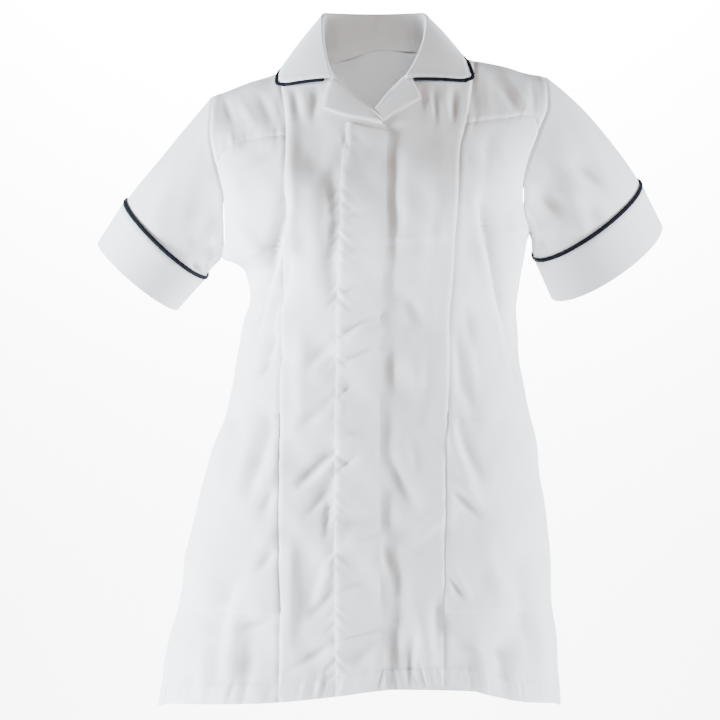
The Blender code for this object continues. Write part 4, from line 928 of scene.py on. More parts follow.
def bands(lines, first_band=0):
    """Levels between lines that cross a panel, the same share of the way in each column."""
    rows = [lines[0]]
    spans = zip(lines[:-1], lines[1:], ROWS[first_band:], ROW_EASE[first_band:])
    for low, high, count, ease in spans:
        rows += [low + (high - low) * (step / count) ** ease for step in range(1, count + 1)]
    return np.array(rows)


def trim(points, bottom=True, top=True, first=True, last=True, gap=SEAM_GAP):
    """Draw a grid's edges in by their share of a seam gap."""
    points = points.copy()
    half = GAP_SHARE * gap
    if bottom:
        points[0] += unit(points[1] - points[0]) * half
    if top:
        points[-1] += unit(points[-2] - points[-1]) * half
    if first:
        points[:, 0] += unit(points[:, 1] - points[:, 0]) * half
    if last:
        points[:, -1] += unit(points[:, -2] - points[:, -1]) * half
    return points


def grid_normals(points, ring=False):
    """Normals of a grid of points from its own rows and columns."""
    along = np.gradient(points, axis=0)
    if ring:
        around = np.roll(points, -1, axis=1) - np.roll(points, 1, axis=1)
    else:
        around = np.gradient(points, axis=1)
    return unit(np.cross(unit(along), unit(around)))


def slant(points):
    """Where a grid's columns lean so far over that its own normals can't be trusted."""
    across_rows = np.gradient(points, axis=0)
    along_rows = np.gradient(points, axis=1)
    lean = np.linalg.norm(np.cross(across_rows, along_rows), axis=2)
    size = np.linalg.norm(across_rows, axis=2) * np.linalg.norm(along_rows, axis=2)
    return lean < STEEPEST_LEAN * size


def run_along(path):
    """How far each point of a path is from its start."""
    steps = np.linalg.norm(np.diff(path, axis=0), axis=1)
    return np.concatenate([[0], np.cumsum(steps)])


def runs(points):
    """How far each point of a grid is along its row and up its column."""
    along = np.linalg.norm(np.diff(points, axis=1), axis=2)
    up = np.linalg.norm(np.diff(points, axis=0), axis=2)
    along = np.concatenate([np.zeros((len(points), 1)), np.cumsum(along, axis=1)], axis=1)
    up = np.concatenate([np.zeros((1, points.shape[1])), np.cumsum(up, axis=0)], axis=0)
    return along, up


def from_edge(name, points, along, up):
    """For each edge: distance from it, and place along it."""
    height = up if name == "collar" else points[..., 2]
    edges = {
        "first": (along, height),
        "last": (along[:, -1:] - along, height),
        "bottom": (up, along),
        "top": (up[-1:] - up, along),
    }
    if name == "front_right":
        distance = along - along[:, PLACKET_COLUMNS : PLACKET_COLUMNS + 1]
        edges["stitch"] = (np.where(distance < 0, 1, distance), height)
    return edges


def ripple(place, pitch):
    """Uneven waves along a line, about one pitch apart."""
    turn = 2 * np.pi * place / pitch
    wave = np.sin(turn) + 0.55 * np.sin(0.63 * turn + 1.1) + 0.45 * np.sin(1.71 * turn + 2.3)
    return wave * (0.6 + 0.4 * np.sin(0.23 * turn + 0.7)) / 1.5


def relief(name, points, along, up):
    """Seam dips, puckers and the hem's band on one piece."""
    rise = np.zeros(points.shape[:2])
    edges = from_edge(name, points, along, up)
    for edge in sum((sewn for kind, sewn in SEWN.items() if name.startswith(kind)), ()):
        away = edges[edge][0]
        rise -= SEAM_DIP * np.exp(-((away / SEAM_REACH) ** 2))
        rise += SEAM_PUFF * np.exp(-(((away - 3 * SEAM_REACH) / (2 * SEAM_REACH)) ** 2))
    for kind, edge, start, end, height, reach, pitch, lean in PUCKERS:
        if not name.startswith(kind):
            continue
        away, place = edges[edge]
        fade = np.clip((place - start) / PUCKER_FADE, 0, 1)
        fade = fade * np.clip((end - place) / PUCKER_FADE, 0, 1)
        rise += height * fade * ripple(place + lean * away, pitch) * np.exp(-((away / reach) ** 1.5))
    if name in HEMMED:
        rise += HEM_PUFF / (1 + np.exp((up - HEM_DEPTH) / HEM_STEP))
        rise -= HEM_DITCH * np.exp(-(((up - HEM_DEPTH) / HEM_DITCH_WIDTH) ** 2))
        band = np.exp(-(((up - 0.6 * HEM_DEPTH) / (0.55 * HEM_DEPTH)) ** 2))
        rise += HEM_PUCKER * band * ripple(along + 0.25 * up + 0.3 * points[..., 0], HEM_PITCH)
    return rise


def finish_piece(piece, material, node):
    """Give a piece its material and put it in the place of its CAD node."""
    piece.data.materials.append(material)
    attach(piece, "root")
    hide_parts(node)


def troughs(points, normals, ring):
    """How hollow the cloth is at each point, from 0 on open cloth to 1 in a tight crease: the mask of the
    shade painted into the creases.
    """
    rows, columns = points.shape[:2]
    hollow = np.zeros((rows, columns))
    for axis, count in ((0, rows), (1, columns)):
        spacing = np.linalg.norm(np.diff(points, axis=axis), axis=2).mean()
        reach = max(1, round(TROUGH_REACH / spacing))
        place = np.arange(count)
        if ring and axis == 1:
            step = np.full(count, reach)
        else:
            step = np.minimum(reach, np.minimum(place, count - 1 - place))
        before = np.take(points, (place - step) % count, axis=axis)
        after = np.take(points, (place + step) % count, axis=axis)
        rise = (((before + after) / 2 - points) * normals).sum(axis=2)
        span = np.maximum(step, 1) * spacing
        hollow += rise * 2 / (span**2)[:, None] if axis == 0 else rise * 2 / (span**2)[None]
    for _ in range(TROUGH_SOFT):
        for axis, count in ((0, rows), (1, columns)):
            place = np.arange(count)
            if ring and axis == 1:
                before, after = (place - 1) % count, (place + 1) % count
            else:
                before, after = np.maximum(place - 1, 0), np.minimum(place + 1, count - 1)
            hollow = (hollow.take(before, axis) + 2 * hollow + hollow.take(after, axis)) / 4
    return np.clip(hollow / TROUGH_CURVE, 0, 1)


def make_mesh(name, vertices, quads, loop_uvs):
    """A smooth mesh of quads with outward faces and a UV map in metres."""
    a, b, c, d = (vertices[quads[:, k]] for k in range(4))
    volume = (a * np.cross(b, c)).sum() + (a * np.cross(c, d)).sum()
    if volume < 0:
        quads = quads[:, ::-1]
        loop_uvs = loop_uvs[:, ::-1]
    mesh = bpy.data.meshes.new(name)
    mesh.from_pydata(vertices.tolist(), [], quads.tolist())
    layer = mesh.uv_layers.new(name="cloth")
    layer.data.foreach_set("uv", np.ascontiguousarray(loop_uvs, np.float32).ravel())
    mesh.shade_smooth()
    mesh.set_sharp_from_angle(angle=SHARP_ANGLE)
    mesh.update()
    piece = bpy.data.objects.new(name, mesh)
    bpy.context.scene.collection.objects.link(piece)
    return piece


def wall(name, points, normals, ring=False):
    """One piece of cloth: a closed thin shell with its seam dips, puckers and hem."""
    along, up = runs(points)
    points = points + normals * relief(name, points, along, up)[..., None]
    own = grid_normals(points, ring)
    own = own * np.sign((own * normals).sum())
    if name in TRUNK:
        slanted = slant(points)
        own[slanted] = normals[slanted]
    normals = own
    rows, columns = points.shape[:2]
    half = normals * SHOWN.get(name, SHOWN_CLOTH) / 2
    under = rows * columns
    column = np.arange(columns if ring else columns - 1)
    row = np.arange(rows - 1)[:, None] * columns
    a = (row + column).ravel()
    b = (row + (column + 1) % columns).ravel()
    face = np.stack([a, b, b + columns, a + columns], 1)
    faces = [face, face[:, ::-1] + under]
    after = (column + 1) % columns
    top = (rows - 1) * columns
    faces.append(np.stack([column, under + column, under + after, after], 1))
    faces.append(top + np.stack([column, after, under + after, under + column], 1))
    if not ring:
        start = row.ravel()
        faces.append(np.stack([start, start + columns, under + start + columns, under + start], 1))
        start = start + columns - 1
        faces.append(np.stack([start, under + start, under + start + columns, start + columns], 1))
    quads = np.concatenate(faces)
    uv = np.stack([along, up], 2).reshape(-1, 2)
    loop_uvs = np.concatenate([uv, uv])[quads]
    if ring:
        girth = along[:, -1].max() + np.linalg.norm(points[0, 0] - points[0, -1])
        column_of = quads % columns
        wraps = (column_of.max(axis=1) - column_of.min(axis=1)) > 1
        loop_uvs[..., 0] += np.where(wraps[:, None] & (column_of == 0), girth, 0)
    shell = np.concatenate([points + half, points - half]).reshape(-1, 3)
    piece = make_mesh(f"cloth_{name}", shell, quads, loop_uvs)
    finish_piece(piece, MATERIALS["cloth"], name)
    # The creases' hollowness, on the shell's outer side, is the mask for shade painted into the cloth's
    # colour.
    depth = troughs(points, normals, ring).ravel()
    layer = piece.data.attributes.new("painted_crease_shade", "FLOAT", "POINT")
    layer.data.foreach_set("value", np.concatenate([depth, 0 * depth]).astype(np.float32))
    GRIDS[name] = (points + half, normals, ring)


def with_ends(rows):
    """A cord's rows with its first and its last row twice more."""
    return np.concatenate([rows[:1], rows[:1], rows, rows[-1:], rows[-1:]])


def tube(name, path, outward, radius, closed, flat=1.0):
    """A piping cord along a path, with each section square to it and closed ends."""
    if closed:
        steps = unit(np.roll(path, -1, axis=0) - path)
        ahead = unit(steps + np.roll(steps, 1, axis=0))
    else:
        steps = unit(np.diff(path, axis=0))
        ahead = unit(np.concatenate([steps[:1], steps[:-1] + steps[1:], steps[-1:]]))
    outward = unit(outward - ahead * (outward * ahead).sum(-1, keepdims=True))
    across_path = np.cross(ahead, outward)
    run = run_along(path)
    swell = radius * (1 + PIPING_UNEVEN * ripple(run, PIPING_PITCH))
    if not closed:
        path, ahead, outward, swell, run = map(with_ends, (path, ahead, outward, swell, run))
        shift = np.zeros((len(path), 1))
        for end, (past, size) in enumerate(PIPING_END):
            shift[[end, -1 - end], 0] = -past * radius, past * radius
            swell[[end, -1 - end]] = size * radius
        path = path + ahead * shift
        across_path = np.cross(ahead, outward)
    turn = 2 * np.pi * np.arange(TUBE_SIDES) / TUBE_SIDES
    spokes = flat * np.cos(turn)[None, :, None] * outward[:, None]
    spokes = spokes + np.sin(turn)[None, :, None] * across_path[:, None]
    vertices = (path[:, None] + swell[:, None, None] * spokes).reshape(-1, 3)
    rings = len(path)
    spans = rings if closed else rings - 1
    ring, side = np.meshgrid(np.arange(spans), np.arange(TUBE_SIDES), indexing="ij")
    ring = ring.ravel()
    side = side.ravel()
    after = (ring + 1) % rings
    beside = (side + 1) % TUBE_SIDES
    corners = [(ring, side), (ring, beside), (after, beside), (after, side)]
    quads = np.stack([place * TUBE_SIDES + edge for place, edge in corners], 1)
    step = 2 * np.pi * radius / TUBE_SIDES
    length = np.append(run, run[-1] + np.linalg.norm(path[0] - path[-1]))
    places = [(ring, side), (ring, side + 1), (ring + 1, side + 1), (ring + 1, side)]
    loop_uvs = np.stack([np.stack([length[place], edge * step], 1) for place, edge in places], 1)
    if not closed:
        half = TUBE_SIDES // 2
        for start in (0, (rings - 1) * TUBE_SIDES):
            for k in range(half - 1):
                cap = [start + k, start + k + 1, start + TUBE_SIDES - 2 - k, start + TUBE_SIDES - 1 - k]
                cap = cap if start else cap[::-1]
                quads = np.concatenate([quads, [cap]])
                loop_uvs = np.concatenate([loop_uvs, np.zeros((1, 4, 2))])
    piece = make_mesh(f"cloth_{name}", vertices, quads, loop_uvs)
    finish_piece(piece, MATERIALS["piping"], name)


def stitch_line(name, edge, inset):
    """Points and normals of a line at this distance from one edge of a piece."""
    points, normals, ring = GRIDS[name]
    if edge in ("first", "last"):
        points = points.transpose(1, 0, 2)
        normals = normals.transpose(1, 0, 2)
    if edge in ("last", "top"):
        points = points[::-1]
        normals = normals[::-1]
    run = runs(points)[1]
    line = []
    facing = []
    for column in range(points.shape[1]):
        line.append([np.interp(inset, run[:, column], points[:, column, k]) for k in range(3)])
        facing.append([np.interp(inset, run[:, column], normals[:, column, k]) for k in range(3)])
    if ring and edge == "bottom":
        line.append(line[0])
        facing.append(facing[0])
    return np.array(line), unit(np.array(facing))


def stitches(name, rows):
    """One thread object: a raised bead for each stitch of these rows."""
    vertices = []
    quads = []
    sides = STITCH_SIDES
    turn = 2 * np.pi * np.arange(sides) / sides
    places, swell, rise = np.array(STITCH_FORM).T
    for piece, edge, inset, start, end in rows:
        line, facing = stitch_line(piece, edge, inset)
        run = run_along(line)
        count = int(run[-1] * (end - start) / STITCH_PITCH)
        for index in range(count):
            begin = start * run[-1] + index * STITCH_PITCH
            marks = begin + STITCH_LENGTH * places
            centre = np.stack([np.interp(marks, run, line[:, k]) for k in range(3)], 1)
            up = unit(np.stack([np.interp(marks, run, facing[:, k]) for k in range(3)], 1))
            ahead = unit(centre[-1] - centre[0])
            side = np.cross(ahead, up)
            radius = STITCH_RADIUS * swell
            centre = centre + up * STITCH_RADIUS * rise[:, None]
            base = len(vertices)
            for place in range(len(places)):
                for angle in turn:
                    spoke = math.cos(angle) * up[place] + math.sin(angle) * side[place]
                    vertices.append(centre[place] + radius[place] * spoke)
            for place in range(len(places) - 1):
                for k in range(sides):
                    a = base + place * sides + k
                    b = base + place * sides + (k + 1) % sides
                    quads.append((a, b, b + sides, a + sides))
            for first in (base, len(vertices) - sides):
                quads.append((first, first + 1, first + 2, first + 3))
                quads.append((first, first + 3, first + 4, first + 5))
    piece = make_mesh(name, np.array(vertices), np.array(quads), np.zeros((len(quads), 4, 2)))
    piece.data.materials.append(MATERIALS["thread"])
    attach(piece, "root")


def yoke_level(yoke, princess, edge):
    """The yoke seam as a function from share across to level."""
    shares = np.linspace(0, 1, YOKE_SAMPLES)
    heights = through(yoke, 1, shares)
    levels = heights.copy()
    for _ in range(SEARCH_ROUNDS):
        angles = princess(levels) * (1 - shares) + edge(levels) * shares
        levels = levels + heights - plain_body(angles, levels)[..., 2]
    return lambda share: np.interp(share, shares, levels)


def level_of(x, z):
    """Level of the front's point seen at x and z."""
    return float(find_front(x, z)[1])


def across(first, last, levels, share):
    """Angles across a panel, a share of the way between two seams."""
    return first(levels) * (1 - share) + last(levels) * share


def side_panels(hand, princess, edge, yoke, mouth):
    """Side front, pocket and yoke of one side.  Returns the armhole's points and normals."""
    share = np.linspace(0, 1, SIDE_COLUMNS + 1)
    seam = yoke_level(yoke, princess, edge)
    hem = hem_level(across(princess, edge, HEM_BACK, share))
    flat = np.ones_like(share)
    lines = [hem, flat * POCKET_BOTTOM, through(mouth, 1, share), flat * ARMPIT_LEVEL]
    levels = bands(lines + [seam(share)])
    points, normals = body_with_normal(across(princess, edge, levels, share), levels)
    wall(f"side_front_{hand}", trim(points, bottom=False), normals)
    low, high = ROWS[0], ROWS[0] + ROWS[1]
    height = np.linspace(0, 1, ROWS[1] + 1)[:, None]
    gape = POCKET_GAPE * height**4 * np.sin(np.pi * share) ** 0.8
    facing = normals[low : high + 1]
    patch = points[low : high + 1] + facing * (POCKET_LIFT + gape)[..., None]
    wall(f"pocket_{hand}", trim(patch, bottom=False, top=False, gap=POCKET_INSET), facing)
    levels = bands([seam(share), flat * 0.0], len(ROWS) - 1)
    upper, upper_normals = body_with_normal(across(princess, edge, levels, share), levels)
    wall(f"yoke_{hand}", trim(upper), upper_normals)
    armpit = sum(ROWS[:3])
    line = np.concatenate([upper[::-1, -1], points[armpit:-1, -1][::-1]])
    normal = np.concatenate([upper_normals[::-1, -1], normals[armpit:-1, -1][::-1]])
    return line, normal, float(seam(0.0))


def front_right(princess, yoke_at_princess, mouth):
    """The right front and, from its own points, the placket."""
    opening = seam_angle(FRONT_EDGE_RIGHT, 1, EDGE_SAMPLES)
    stitch = seam_angle(PLACKET_STITCH, 1, EDGE_SAMPLES)
    placket_share = np.linspace(0, 1, PLACKET_COLUMNS + 1)
    front_share = np.linspace(0, 1, FRONT_COLUMNS + 1)[1:]

    def angles_at(levels):
        band = across(opening, stitch, levels[..., : PLACKET_COLUMNS + 1], placket_share)
        rest = across(stitch, princess, levels[..., PLACKET_COLUMNS + 1 :], front_share)
        return np.concatenate([band, rest], axis=-1)

    flat = np.ones(PLACKET_COLUMNS + FRONT_COLUMNS + 1)
    corner = level_of(through(FRONT_EDGE_RIGHT, 1, BREAK_AT_EDGE), BREAK_AT_EDGE)
    at_stitch = level_of(through(PLACKET_STITCH, 1, BREAK_AT_STITCH), BREAK_AT_STITCH)
    break_line = corner + (at_stitch - corner) * placket_share
    yoke_line = at_stitch + (yoke_at_princess - at_stitch) * front_share
    turn = np.concatenate([break_line, yoke_line])
    lines = [hem_level(angles_at(flat * HEM_BACK)), flat * POCKET_BOTTOM, flat * mouth[0][1]]
    levels = bands(lines + [flat * ARMPIT_LEVEL, turn, flat * 0.0])
    points, normals = body_with_normal(angles_at(levels), levels)
    wall("front_right", trim(points, bottom=False, first=False), normals)
    rows = sum(ROWS[:4]) + 1
    lift = CLOTH / 2 + SEAM_GAP + BAND_CLOTH / 2
    facing = normals[:rows, : PLACKET_COLUMNS + 1]
    band = points[:rows, : PLACKET_COLUMNS + 1] + facing * lift
    band = trim(band, bottom=False, first=False, last=False, gap=BAND_TOP_GAP)
    wall("placket", band, facing)


def front_left(princess, yoke_at_princess, mouth):
    """The left front, which dips under the right one."""
    opening = seam_angle(FRONT_EDGE_LEFT, 1, EDGE_SAMPLES)
    share = np.linspace(0, 1, LEFT_FRONT_COLUMNS + 1)
    flat = np.ones_like(share)
    corner = level_of(through(FRONT_EDGE_LEFT, 1, BREAK_LEFT), BREAK_LEFT)
    hem = hem_level(across(opening, princess, HEM_BACK, share))
    lines = [hem, flat * POCKET_BOTTOM, flat * mouth[0][1], flat * ARMPIT_LEVEL]
    levels = bands(lines + [corner + (yoke_at_princess - corner) * share, flat * 0.0])
    points, normals = body_with_normal(across(opening, princess, levels, share), levels)
    over = through(FRONT_EDGE_RIGHT, 1, points[..., 2]) + UNDERLAP_MARGIN + UNDERLAP_BLEND
    under = np.clip((over - points[..., 0]) / UNDERLAP_BLEND, 0, 1)
    points = points - normals * (UNDERLAP_DEPTH * under**2 * (3 - 2 * under))[..., None]
    wall("front_left", trim(points, bottom=False, first=False), normals)


def neck_share(share):
    """Level of the back's neck edge, a share of the way across."""
    return -NECK_DIP * np.sin(np.pi * share) ** 0.7


def back_panel(left_edge, right_edge, left_arm, right_arm):
    """The back.  Returns the armholes' points and normals, left and right."""
    ends = [float(left_arm(0.0)), 0.0, 0.0, float(right_arm(0.0))]
    ends[1:3] = [float(angle_at(x, np.array(0.0))) for x in (NECK_POINT_LEFT, NECK_POINT_RIGHT)]
    ends = [(angle - ends[0]) / (ends[3] - ends[0]) for angle in ends]
    share = [0.0]
    for low, high, count in zip(ends[:-1], ends[1:], BACK_COLUMNS):
        share += [low + (high - low) * step / count for step in range(1, count + 1)]
    share = np.array(share)

    def first(level):
        return np.where(level < BELOW_ARMPIT, -left_edge(level), left_arm(level))

    def last(level):
        return np.where(level < BELOW_ARMPIT, 2 * math.pi - right_edge(level), right_arm(level))

    neck = neck_share(np.clip((share - ends[1]) / (ends[2] - ends[1]), 0, 1))
    flat = np.ones_like(share)
    mouths = POCKET_LEFT[-1][1] + (POCKET_RIGHT[-1][1] - POCKET_LEFT[-1][1]) * share
    lines = [hem_level(-across(first, last, HEM_BACK, share)), flat * POCKET_BOTTOM, mouths]
    levels = bands(lines + [flat * ARMPIT_LEVEL, flat * BACK_YOKE_LEVEL, neck])
    points, normals = body_with_normal(-across(first, last, levels, share), levels)
    wall("back", trim(points, bottom=False), normals)
    armpit = sum(ROWS[:3])
    return [(points[armpit + 1 : -1, column], normals[armpit + 1 : -1, column]) for column in (0, -1)]


def sleeve_frame(hand, row):
    """Centre, long way, upward and forward directions and half sizes of a sleeve ring."""
    ring = dict(zip(RING_COLUMNS, row))
    outward = 1 if hand == "left" else -1
    slope = math.radians(ring["slope"])
    turn = math.radians(ring["turn"])
    cut = math.radians(ring["cut"])
    centre = np.array([ring["x"], ring["y"], ring["z"]])
    seen = np.array([outward * math.cos(slope), 0, -math.sin(slope)])
    long_way = unit(seen * math.cos(turn) + np.array([0, math.sin(turn), 0]))
    upward = np.array([outward * math.sin(cut), 0, math.cos(cut)])
    forward = unit(np.cross(upward, long_way)) * -outward
    return centre, long_way, upward * ring["across"], forward * ring["deep"]


def ring_points(frame, turn):
    """Points of a sleeve ring at these turns from its top over the front."""
    centre, _, upward, forward = frame
    return centre + np.cos(turn)[:, None] * upward + np.sin(turn)[:, None] * forward


def ring_turns(line):
    """Turn round the sleeve of each armhole point, by its share of each half's length."""
    run = run_along(np.concatenate([line, line[:1]]))
    bottom = int(np.argmin(line[:, 2]))
    front = np.pi * run[: bottom + 1] / run[bottom]
    rear = np.pi + np.pi * (run[bottom + 1 : -1] - run[bottom]) / (run[-1] - run[bottom])
    return np.concatenate([front, rear])


def sleeve_rise(folds, creases, turn, reach):
    """Rise of the sleeve's folds and creases at each turn and each reach."""
    degrees = np.degrees(turn)[None, :]
    reach = reach[:, None]
    total = np.zeros((len(reach), len(turn)))
    folds = [(*row, 0.0) for row in folds]
    creases = [(*row[:4], row[4] * SLEEVE_GAIN, row[5]) for row in creases]
    for at, place, wide, long, rise, lean in [*folds, *creases]:
        away = (degrees - at - lean * (reach - place) + 180) % 360 - 180
        total += rise * np.exp(-(((reach - place) / long) ** 2) - (away / wide) ** 2)
    for around, down, phase, height in SLEEVE_UNEVEN:
        total += height * np.sin(around * turn[None, :] + down * reach + phase)
    fade = np.clip(reach / SLEEVE_FADES[0], 0, 1) * np.clip((1 - reach) / SLEEVE_FADES[1], 0, 1)
    return total * fade


def seam_clearance(leave, beyond):
    """How far from a panel's edge a wall may start that leaves it in another direction."""
    cosine = (leave * beyond).sum(1)
    sine = np.sqrt(np.clip(1 - cosine**2, 1e-6, 1))
    half = CLOTH / 2
    straight = np.where(cosine > 0.05, (SEAM_GAP + half * sine) / np.maximum(cosine, 0.05), 1.0)
    over = (SEAM_GAP + half + half * np.abs(cosine)) / sine
    return np.minimum(straight, over) + SEAM_GAP


def sleeve(hand, front_arm, back_arm, rings, folds, creases):
    """Sleeve, cuff and cuff piping of one side."""
    line = np.concatenate([front_arm[0], back_arm[0]])
    arm_normal = np.concatenate([front_arm[1], back_arm[1]])
    turn = ring_turns(line)
    frames = [sleeve_frame(hand, row) for row in rings]
    piping = ring_points(frames[0], turn)
    hem = ring_points(frames[1], turn)
    chord = piping - line
    length = np.linalg.norm(chord, axis=1, keepdims=True)
    radial = unit(line - line.mean(axis=0))
    bulge = CAP_BULGE[hand] * (0.5 + 0.5 * np.cos(turn))[:, None]
    leave = unit(unit(chord) + bulge * radial)
    beyond = unit(np.cross(np.roll(line, -1, 0) - np.roll(line, 1, 0), arm_normal))
    beyond = beyond * np.sign((beyond[0] * leave[0]).sum())
    over = np.clip(1.2 - 2 * (leave * beyond).sum(1, keepdims=True), 0, 1) * LAYER
    start = line + leave * seam_clearance(leave, beyond)[:, None] + arm_normal * over
    reach = np.linspace(0, 1, SLEEVE_ROWS + 1)
    t = reach[:, None, None]
    upper = curve(t, start, leave * length, piping, frames[0][1] * length)
    lower = [piping + (hem - piping) * step / CUFF_ROWS for step in range(1, CUFF_ROWS + 1)]
    points = np.concatenate([upper, lower])
    normals = grid_normals(points, ring=True)
    normals = normals * np.sign((normals[-1] * (points[-1] - points[-1].mean(0))).sum())
    rise = sleeve_rise(folds, creases, turn, reach)[..., None]
    points[: SLEEVE_ROWS + 1] += normals[: SLEEVE_ROWS + 1] * rise
    tucked = points.copy()
    tucked[0] -= unit(points[2] - points[0]) * ARM_TUCK + normals[0] * ARM_SINK
    wall(f"sleeve_{hand}", tucked, normals, ring=True)
    cuff = points[SLEEVE_ROWS:]
    cuff_normals = normals[SLEEVE_ROWS:].copy()
    cuff_normals[0] = cuff_normals[1]
    wall(f"cuff_{hand}", cuff + cuff_normals * LAYER, cuff_normals, ring=True)
    inward = unit(points[SLEEVE_ROWS - 1] - points[SLEEVE_ROWS])
    above = points[SLEEVE_ROWS] + inward * (CUFF_PIPING + SEAM_GAP)
    above = above + normals[SLEEVE_ROWS] * (SHOWN_CLOTH / 2 + CUFF_PIPING * PIPING_FLAT)
    tube(f"cuff_piping_{hand}", above, normals[SLEEVE_ROWS], CUFF_PIPING, True, PIPING_FLAT)


def collar_column(name, at):
    """One column of the collar's table, as a smooth curve over its stations."""
    rows = [(index, *row) for index, row in enumerate(COLLAR)]
    return through(rows, 1 + COLLAR_COLUMNS.index(name), at)


def collar_half(hand, at):
    """Roll line, neck seam and outer edge on one side of the collar."""
    sign = 1 if hand == "left" else -1
    shift = collar_column("shift", at)
    side = shift + sign * collar_column("roll_x", at)
    roll = np.stack([side, collar_column("roll_y", at), collar_column("roll_z", at)], 1)
    opening = seam_angle(FRONT_EDGE_LEFT if hand == "left" else FRONT_EDGE_RIGHT, 1, EDGE_SAMPLES)
    share = collar_column("seam_share", at)
    middle = (NECK_POINT_LEFT + NECK_POINT_RIGHT) / 2
    point_x = NECK_POINT_LEFT if hand == "left" else NECK_POINT_RIGHT
    behind = share < 0.999
    level = np.where(behind, neck_share(0.5 + 0.5 * share), collar_column("seam_level", at))
    angle = np.where(behind, -angle_at(middle + (point_x - middle) * share, level), opening(level))
    seam, seam_normal = body_with_normal(angle, level)
    seam = seam + seam_normal * COLLAR_SEAM_LIFT
    reach = collar_column("edge_reach", at)
    side = collar_column("edge_shift", at) + sign * collar_column("edge_x", at)
    level = np.minimum(-np.abs(reach) - COLLAR_TILT * side * collar_column("even", at), 0)
    angle = angle_at(side, level)
    edge, normal = body_with_normal(np.where(reach > 0, -angle, angle), level)
    return roll, seam, edge + normal * COLLAR_EDGE_LIFT


def collar():
    """The folded collar and its piping."""
    at = np.linspace(0, len(COLLAR) - 1, COLLAR_STATIONS + 1)
    left = collar_half("left", at)
    right = collar_half("right", at)
    roll, seam, cord = (np.concatenate([r[::-1], l[1:]]) for r, l in zip(right, left))
    ahead = unit(np.gradient(roll, axis=0))
    up = roll - (seam + cord) / 2
    up = unit(up - ahead * (up * ahead).sum(1, keepdims=True))
    out = unit(np.cross(up, ahead))
    out = out * np.sign((out * (cord - seam)).sum(1, keepdims=True))
    crease = roll - up * COLLAR_FOLD
    inner_top = crease - out * COLLAR_FOLD
    outer_top = crease + out * COLLAR_FOLD
    lead = (outer_top + cord) / 2 + out * COLLAR_BULGE
    edge = cord - unit(cord - lead) * PIPING_STEP
    foot = seam - unit(inner_top - seam) * COLLAR_SEAM_TUCK
    rows = [foot + (inner_top - foot) * step / STAND_POINTS for step in range(STAND_POINTS)]
    for step in range(ROLL_POINTS + 1):
        turn = math.pi * step / ROLL_POINTS
        rows.append(crease + COLLAR_FOLD * (math.sin(turn) * up - math.cos(turn) * out))
    for step in range(1, FALL_POINTS + 1):
        share = step / FALL_POINTS
        rows.append((1 - share) ** 2 * outer_top + 2 * share * (1 - share) * lead + share**2 * edge)
    points = np.array(rows)
    round_corner(points, 0, 1)
    round_corner(points, COLLAR_STATIONS * 2, -1)
    normals = grid_normals(points)
    normals = normals * np.sign((normals[-2] * out).sum())
    wall("collar", points, normals)
    notch = round(NOTCH_SHARE * FALL_POINTS) - FALL_POINTS - 1
    path = [points[notch:-1, 0], points[-1], points[notch:-1, -1][::-1]]
    faces = [normals[notch:-1, 0], normals[-1], normals[notch:-1, -1][::-1]]
    path = np.concatenate(path)
    faces = np.concatenate(faces)
    outside = unit(np.cross(unit(np.gradient(path, axis=0)), faces))
    down = (points[-1] - points[-3])[COLLAR_STATIONS]
    outside = outside * np.sign((outside[len(path) // 2] * down).sum())
    tube("collar_piping", path + outside * PIPING_STEP, faces, PIPING_RADIUS, False, PIPING_FLAT)


def round_corner(points, column, inside):
    """Draw one lower corner of the collar in to a quarter of a circle."""
    corner = points[-1, column].copy()
    along = unit(points[-1, column + 5 * inside] - corner)
    up = unit(points[-6, column] - corner)
    lean = (along * up).sum()
    away = points - corner
    first = (away * along).sum(-1)
    second = (away * up).sum(-1)
    a = (first - lean * second) / (1 - lean**2)
    b = (second - lean * first) / (1 - lean**2)
    near = (np.linalg.norm(away, axis=-1) < 2 * CORNER_RADIUS)[..., None]
    x = np.clip(1 - a / CORNER_RADIUS, 0, 1)
    y = np.clip(1 - b / CORNER_RADIUS, 0, 1)
    shift_x = (x - x * np.sqrt(1 - y**2 / 2)) * CORNER_RADIUS
    shift_y = (y - y * np.sqrt(1 - x**2 / 2)) * CORNER_RADIUS
    points += near * (shift_x[..., None] * along + shift_y[..., None] * up)


def lapel(hand, rows, front_edge):
    """One revers: rolled over at the front's edge and laid back on the front."""
    at = np.linspace(0, len(rows) - 1, LAPEL_ALONG + 1)
    table = np.array(rows)
    columns = {}
    for i, name in enumerate(LAPEL_COLUMNS):
        columns[name] = np.interp(at, np.arange(len(rows)), table[:, i])
    columns["roll_x"] = through(front_edge, 1, columns["roll_z"])
    roll, roll_normal = body_with_normal(*find_front(columns["roll_x"], columns["roll_z"]))
    ahead = unit(np.gradient(roll, axis=0))
    inward = unit(np.cross(ahead, roll_normal))
    flat = find_front(columns["edge_x"], columns["edge_z"])
    inward = inward * -np.sign((inward * (body(*flat) - roll)).sum(1, keepdims=True))
    radius = LAPEL_LIFT / 2
    lines = []
    for step in range(LAPEL_TURN + 1):
        turn = math.pi * step / LAPEL_TURN
        swing = math.sin(turn) * inward + (1 - math.cos(turn)) * roll_normal
        lines.append(roll + inward * CLOTH / 2 + radius * swing)
    for step in range(1, LAPEL_ACROSS + 1):
        share = step / LAPEL_ACROSS
        x = columns["roll_x"] * (1 - share) + columns["edge_x"] * share
        z = columns["roll_z"] * (1 - share) + columns["edge_z"] * share
        flat = find_front(x, z)
        point = plain_body(*flat)
        normal = surface_normal(plain_body, *flat)
        height = LAPEL_LIFT + LAPEL_PUFF * math.sin(math.pi * share)
        lines.append(point + normal * height)
    points = np.array(lines)
    normals = grid_normals(points)
    normals = normals * np.sign((normals[-1] * roll_normal).sum())
    wall(f"lapel_{hand}", points, normals)


